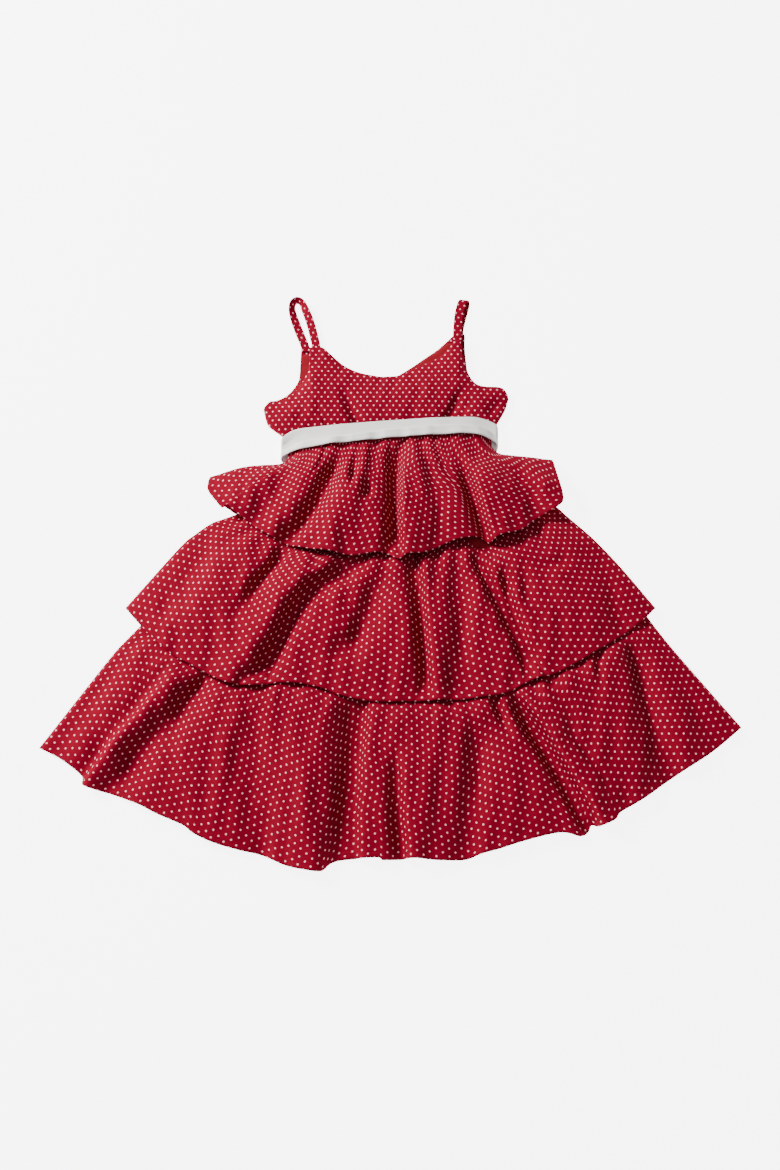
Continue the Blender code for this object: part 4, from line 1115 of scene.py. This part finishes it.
class Cloth:
    """A cloth material in the making: its nodes, its shader and the place in the flat cloth."""

    def __init__(self, name):
        self.material = bpy.data.materials.new(name)
        self.material.use_nodes = True
        self.tree = self.material.node_tree
        self.shader = self.tree.nodes["Principled BSDF"]
        place = self.node("ShaderNodeUVMap", {"uv_map": "cloth"})
        parts = self.node("ShaderNodeSeparateXYZ", {}, {"Vector": place.outputs["UV"]})
        self.across = Number(self.tree, parts.outputs["X"]) * 1000.0
        self.along = Number(self.tree, parts.outputs["Y"]) * 1000.0
        self.place = place.outputs["UV"]

    def node(self, kind, settings=None, inputs=None):
        """Adds a node, with its settings, and its inputs as values or as sockets to join."""
        made = self.tree.nodes.new(kind)
        for key, value in (settings or {}).items():
            setattr(made, key, value)
        for key, value in (inputs or {}).items():
            self.join(value, made.inputs[key])
        return made

    def join(self, value, target):
        """Links a socket to another, or sets a plain number or colour there."""
        if isinstance(value, Number):
            value = value.socket
        if isinstance(value, bpy.types.NodeSocket):
            self.tree.links.new(value, target)
        else:
            target.default_value = value

    def noise(self, scale, detail, roughness=0.5):
        """Uneven blotches over the flat cloth, from 0 to 1."""
        inputs = {"Vector": self.place, "Scale": scale, "Detail": detail, "Roughness": roughness}
        made = self.node("ShaderNodeTexNoise", {"noise_dimensions": "3D"}, inputs)
        return Number(self.tree, made.outputs[0])

    def mix(self, share, first, second):
        """One colour turning into another."""
        settings = {"data_type": "RGBA", "clamp_factor": True}
        made = self.node("ShaderNodeMix", settings, {0: share, 6: first, 7: second})
        return made.outputs[2]

    def weave(self):
        """Threads over and under, 0.36 mm apart, from 0 to 1."""
        over = (self.across * (2 * math.pi / 0.72)).math("SINE")
        under = (self.along * (2 * math.pi / 0.72)).math("SINE")
        return over * under * 0.5 + 0.5

    def bump(self, height, distance, strength):
        """Lets the height turn the surface's normal."""
        inputs = {"Height": height, "Distance": distance, "Strength": strength}
        made = self.node("ShaderNodeBump", {}, inputs)
        self.join(made.outputs["Normal"], self.shader.inputs["Normal"])

    def finish(self, colour, roughness, sheen):
        """Sets the shader's colour and its plain values, and gives the material."""
        self.join(colour, self.shader.inputs["Base Color"])
        self.shader.inputs["Roughness"].default_value = roughness
        self.shader.inputs["Sheen Weight"].default_value = sheen
        self.shader.inputs["Sheen Roughness"].default_value = 0.5
        self.shader.inputs["Specular IOR Level"].default_value = 0.03
        return self.material


def dot_mask(cloth, wide, tall, radius):
    """One inside a dot and nought outside, with a soft edge.

    The dots stand on two oblong lattices, the second in the middle of the first's oblongs, and
    the distance to the nearer dot is the smaller of the two lattices' distances.
    """
    near = None
    for shift in (0.0, 0.5):
        side = []
        for place, pitch in ((cloth.across, wide), (cloth.along, tall)):
            cell = (place / pitch + shift + 400.0).math("FRACT") - 0.5
            side.append(cell * pitch)
        far = (side[0] * side[0] + side[1] * side[1]).math("SQRT")
        near = far if near is None else near.math("MINIMUM", far)
    return 1.0 - near.ramp(radius - 0.25, radius + 0.25)


def red_cloth(name, base, hem_line):
    """Matt red cotton with a fine weave, soft crumples, any print of dots and any stitched hem."""
    cloth = Cloth(name)
    uneven = cloth.noise(60.0, 3.0).ramp(0.25, 0.75)
    dark = tuple(c * 0.90 for c in base[:3]) + (1.0,)
    light = tuple(min(1.0, c * 1.06) for c in base[:3]) + (1.0,)
    colour = cloth.mix(uneven, dark, light)
    if name in DOTS:
        colour = cloth.mix(dot_mask(cloth, *DOTS[name]) * 0.96, colour, DOT_COLOUR)
    crumple = cloth.noise(95.0, 3.0, 0.55)
    height = crumple + cloth.weave() * 0.05
    if hem_line:
        beside = (cloth.along - (HEM_TURN - HEM_STITCH)).math("ABSOLUTE")
        dash = (cloth.across / 2.6 + 400.0).math("FRACT").ramp(0.68, 0.78)
        groove = 1.0 - beside.ramp(0.15, 0.6)
        height = height - groove * (0.28 + 0.22 * dash)
    cloth.bump(height, 0.0011, 0.55)
    return cloth.finish(colour, 0.86, 0.0)


def belt_cloth():
    """Smooth off-white cloth with a faint cross grain and a stitched line beside each edge."""
    cloth = Cloth("belt_cloth")
    uneven = cloth.noise(40.0, 2.0).ramp(0.2, 0.8)
    colour = cloth.mix(uneven, (0.76, 0.755, 0.73, 1.0), (0.82, 0.815, 0.795, 1.0))
    edge = (cloth.along - BELT_WIDTH / 2).math("ABSOLUTE")
    line = 1.0 - (edge - BELT_STITCH).math("ABSOLUTE").ramp(0.1, 0.5)
    dash = (cloth.across / 2.4 + 400.0).math("FRACT").ramp(0.7, 0.8)
    height = cloth.noise(55.0, 3.0) + cloth.weave() * 0.04 - line * (0.25 + 0.2 * dash)
    cloth.bump(height, 0.0009, 0.5)
    return cloth.finish(colour, 0.6, 0.0)


def add_light(name, place, aim, size, power, colour):
    """A round soft light at a place, turned to face its aim."""
    data = bpy.data.lights.new(name, "AREA")
    data.shape = "DISK"
    data.size = size
    data.energy = power
    data.color = colour
    obj = bpy.data.objects.new(name, data)
    obj.location = place
    direction = np.array(aim) - np.array(place)
    flat = math.hypot(direction[0], direction[1])
    obj.rotation_euler = (math.atan2(flat, -direction[2]), 0.0, math.atan2(-direction[0], direction[1]))
    bpy.context.scene.collection.objects.link(obj)


def add_floor():
    """A pale floor under the dress."""
    side, drop = FLOOR_SIZE, -FLOOR_DROP
    corners = [(-side, -side, drop), (side, -side, drop), (side, side, drop), (-side, side, drop)]
    mesh = bpy.data.meshes.new("floor")
    mesh.from_pydata(corners, [], [(0, 1, 2, 3)])
    floor = bpy.data.objects.new("floor", mesh)
    bpy.context.scene.collection.objects.link(floor)
    paper = bpy.data.materials.new("floor_paper")
    paper.use_nodes = True
    shader = paper.node_tree.nodes["Principled BSDF"]
    shader.inputs["Base Color"].default_value = (0.6, 0.6, 0.6, 1.0)
    shader.inputs["Emission Color"].default_value = (1.0, 1.0, 1.0, 1.0)
    shader.inputs["Emission Strength"].default_value = PAPER_GLOW
    shader.inputs["Roughness"].default_value = 0.9
    mesh.materials.append(paper)


def add_camera():
    """The camera at the photo's angle, from the foot of the dress."""
    data = bpy.data.cameras.new("camera")
    data.lens = CAMERA_LENS
    camera = bpy.data.objects.new("camera", data)
    aim = (-PLAN_SHIFT[0] * MM, -PLAN_SHIFT[1] * MM, 0.0)
    rise = math.radians(CAMERA_RISE)
    camera.location = (
        aim[0], aim[1] - CAMERA_AWAY * math.cos(rise), aim[2] + CAMERA_AWAY * math.sin(rise)
    )
    camera.rotation_euler = (math.pi / 2 - rise, 0.0, 0.0)
    bpy.context.scene.collection.objects.link(camera)
    bpy.context.scene.camera = camera


def set_stage():
    """The floor, soft studio light from the upper left, and the camera."""
    add_floor()
    for name, row in LIGHTS.items():
        add_light(name, *row)
    world = bpy.data.worlds.new("studio")
    world.use_nodes = True
    background = world.node_tree.nodes["Background"]
    background.inputs["Color"].default_value = (1.0, 1.0, 1.0, 1.0)
    background.inputs["Strength"].default_value = STUDIO_GLOW
    bpy.context.scene.world = world
    add_camera()


def dress():
    """Lays the cloth from the surface up, in the same order as the solids."""
    for obj in list(bpy.data.objects):
        if obj.type in ("CAMERA", "LIGHT") or obj.name == "Cube":
            bpy.data.objects.remove(obj)
    printed = red_cloth("dotted_cotton_bodice", RED_PRINT, False)
    first = red_cloth("dotted_cotton_tier_1", RED_PRINT, True)
    hemmed = red_cloth("dotted_cotton_tiers", RED_PRINT, True)
    plain = red_cloth("plain_cotton", RED_PLAIN, False)
    pile = Pile()
    straps = {name: strap_sections(name) for name in STRAPS}
    add_belt_back(pile)
    drape_panel(pile, "bodice_back", printed)
    for sections in straps.values():
        add_strap_end(pile, sections, range(STRAP_STEPS - STRAP_TUCK, STRAP_STEPS + 1))
    drape_panel(pile, "bodice_back_lining", plain)
    drape_panel(pile, "tier_1_back", first)
    drape_panel(pile, "tier_2_back", hemmed)
    drape_panel(pile, "tier_3_back", hemmed)
    drape_panel(pile, "underskirt_back", plain)
    drape_panel(pile, "underskirt_front", plain)
    drape_panel(pile, "tier_3_front", hemmed)
    drape_panel(pile, "tier_2_front", hemmed)
    drape_panel(pile, "tier_1_front", first)
    for sections in straps.values():
        add_strap_end(pile, sections, range(0, STRAP_TUCK + 1))
    drape_panel(pile, "bodice_front", printed)
    dress_belt(pile, belt_cloth())
    for name in STRAPS:
        dress_strap(name, printed)


dress()
set_stage()
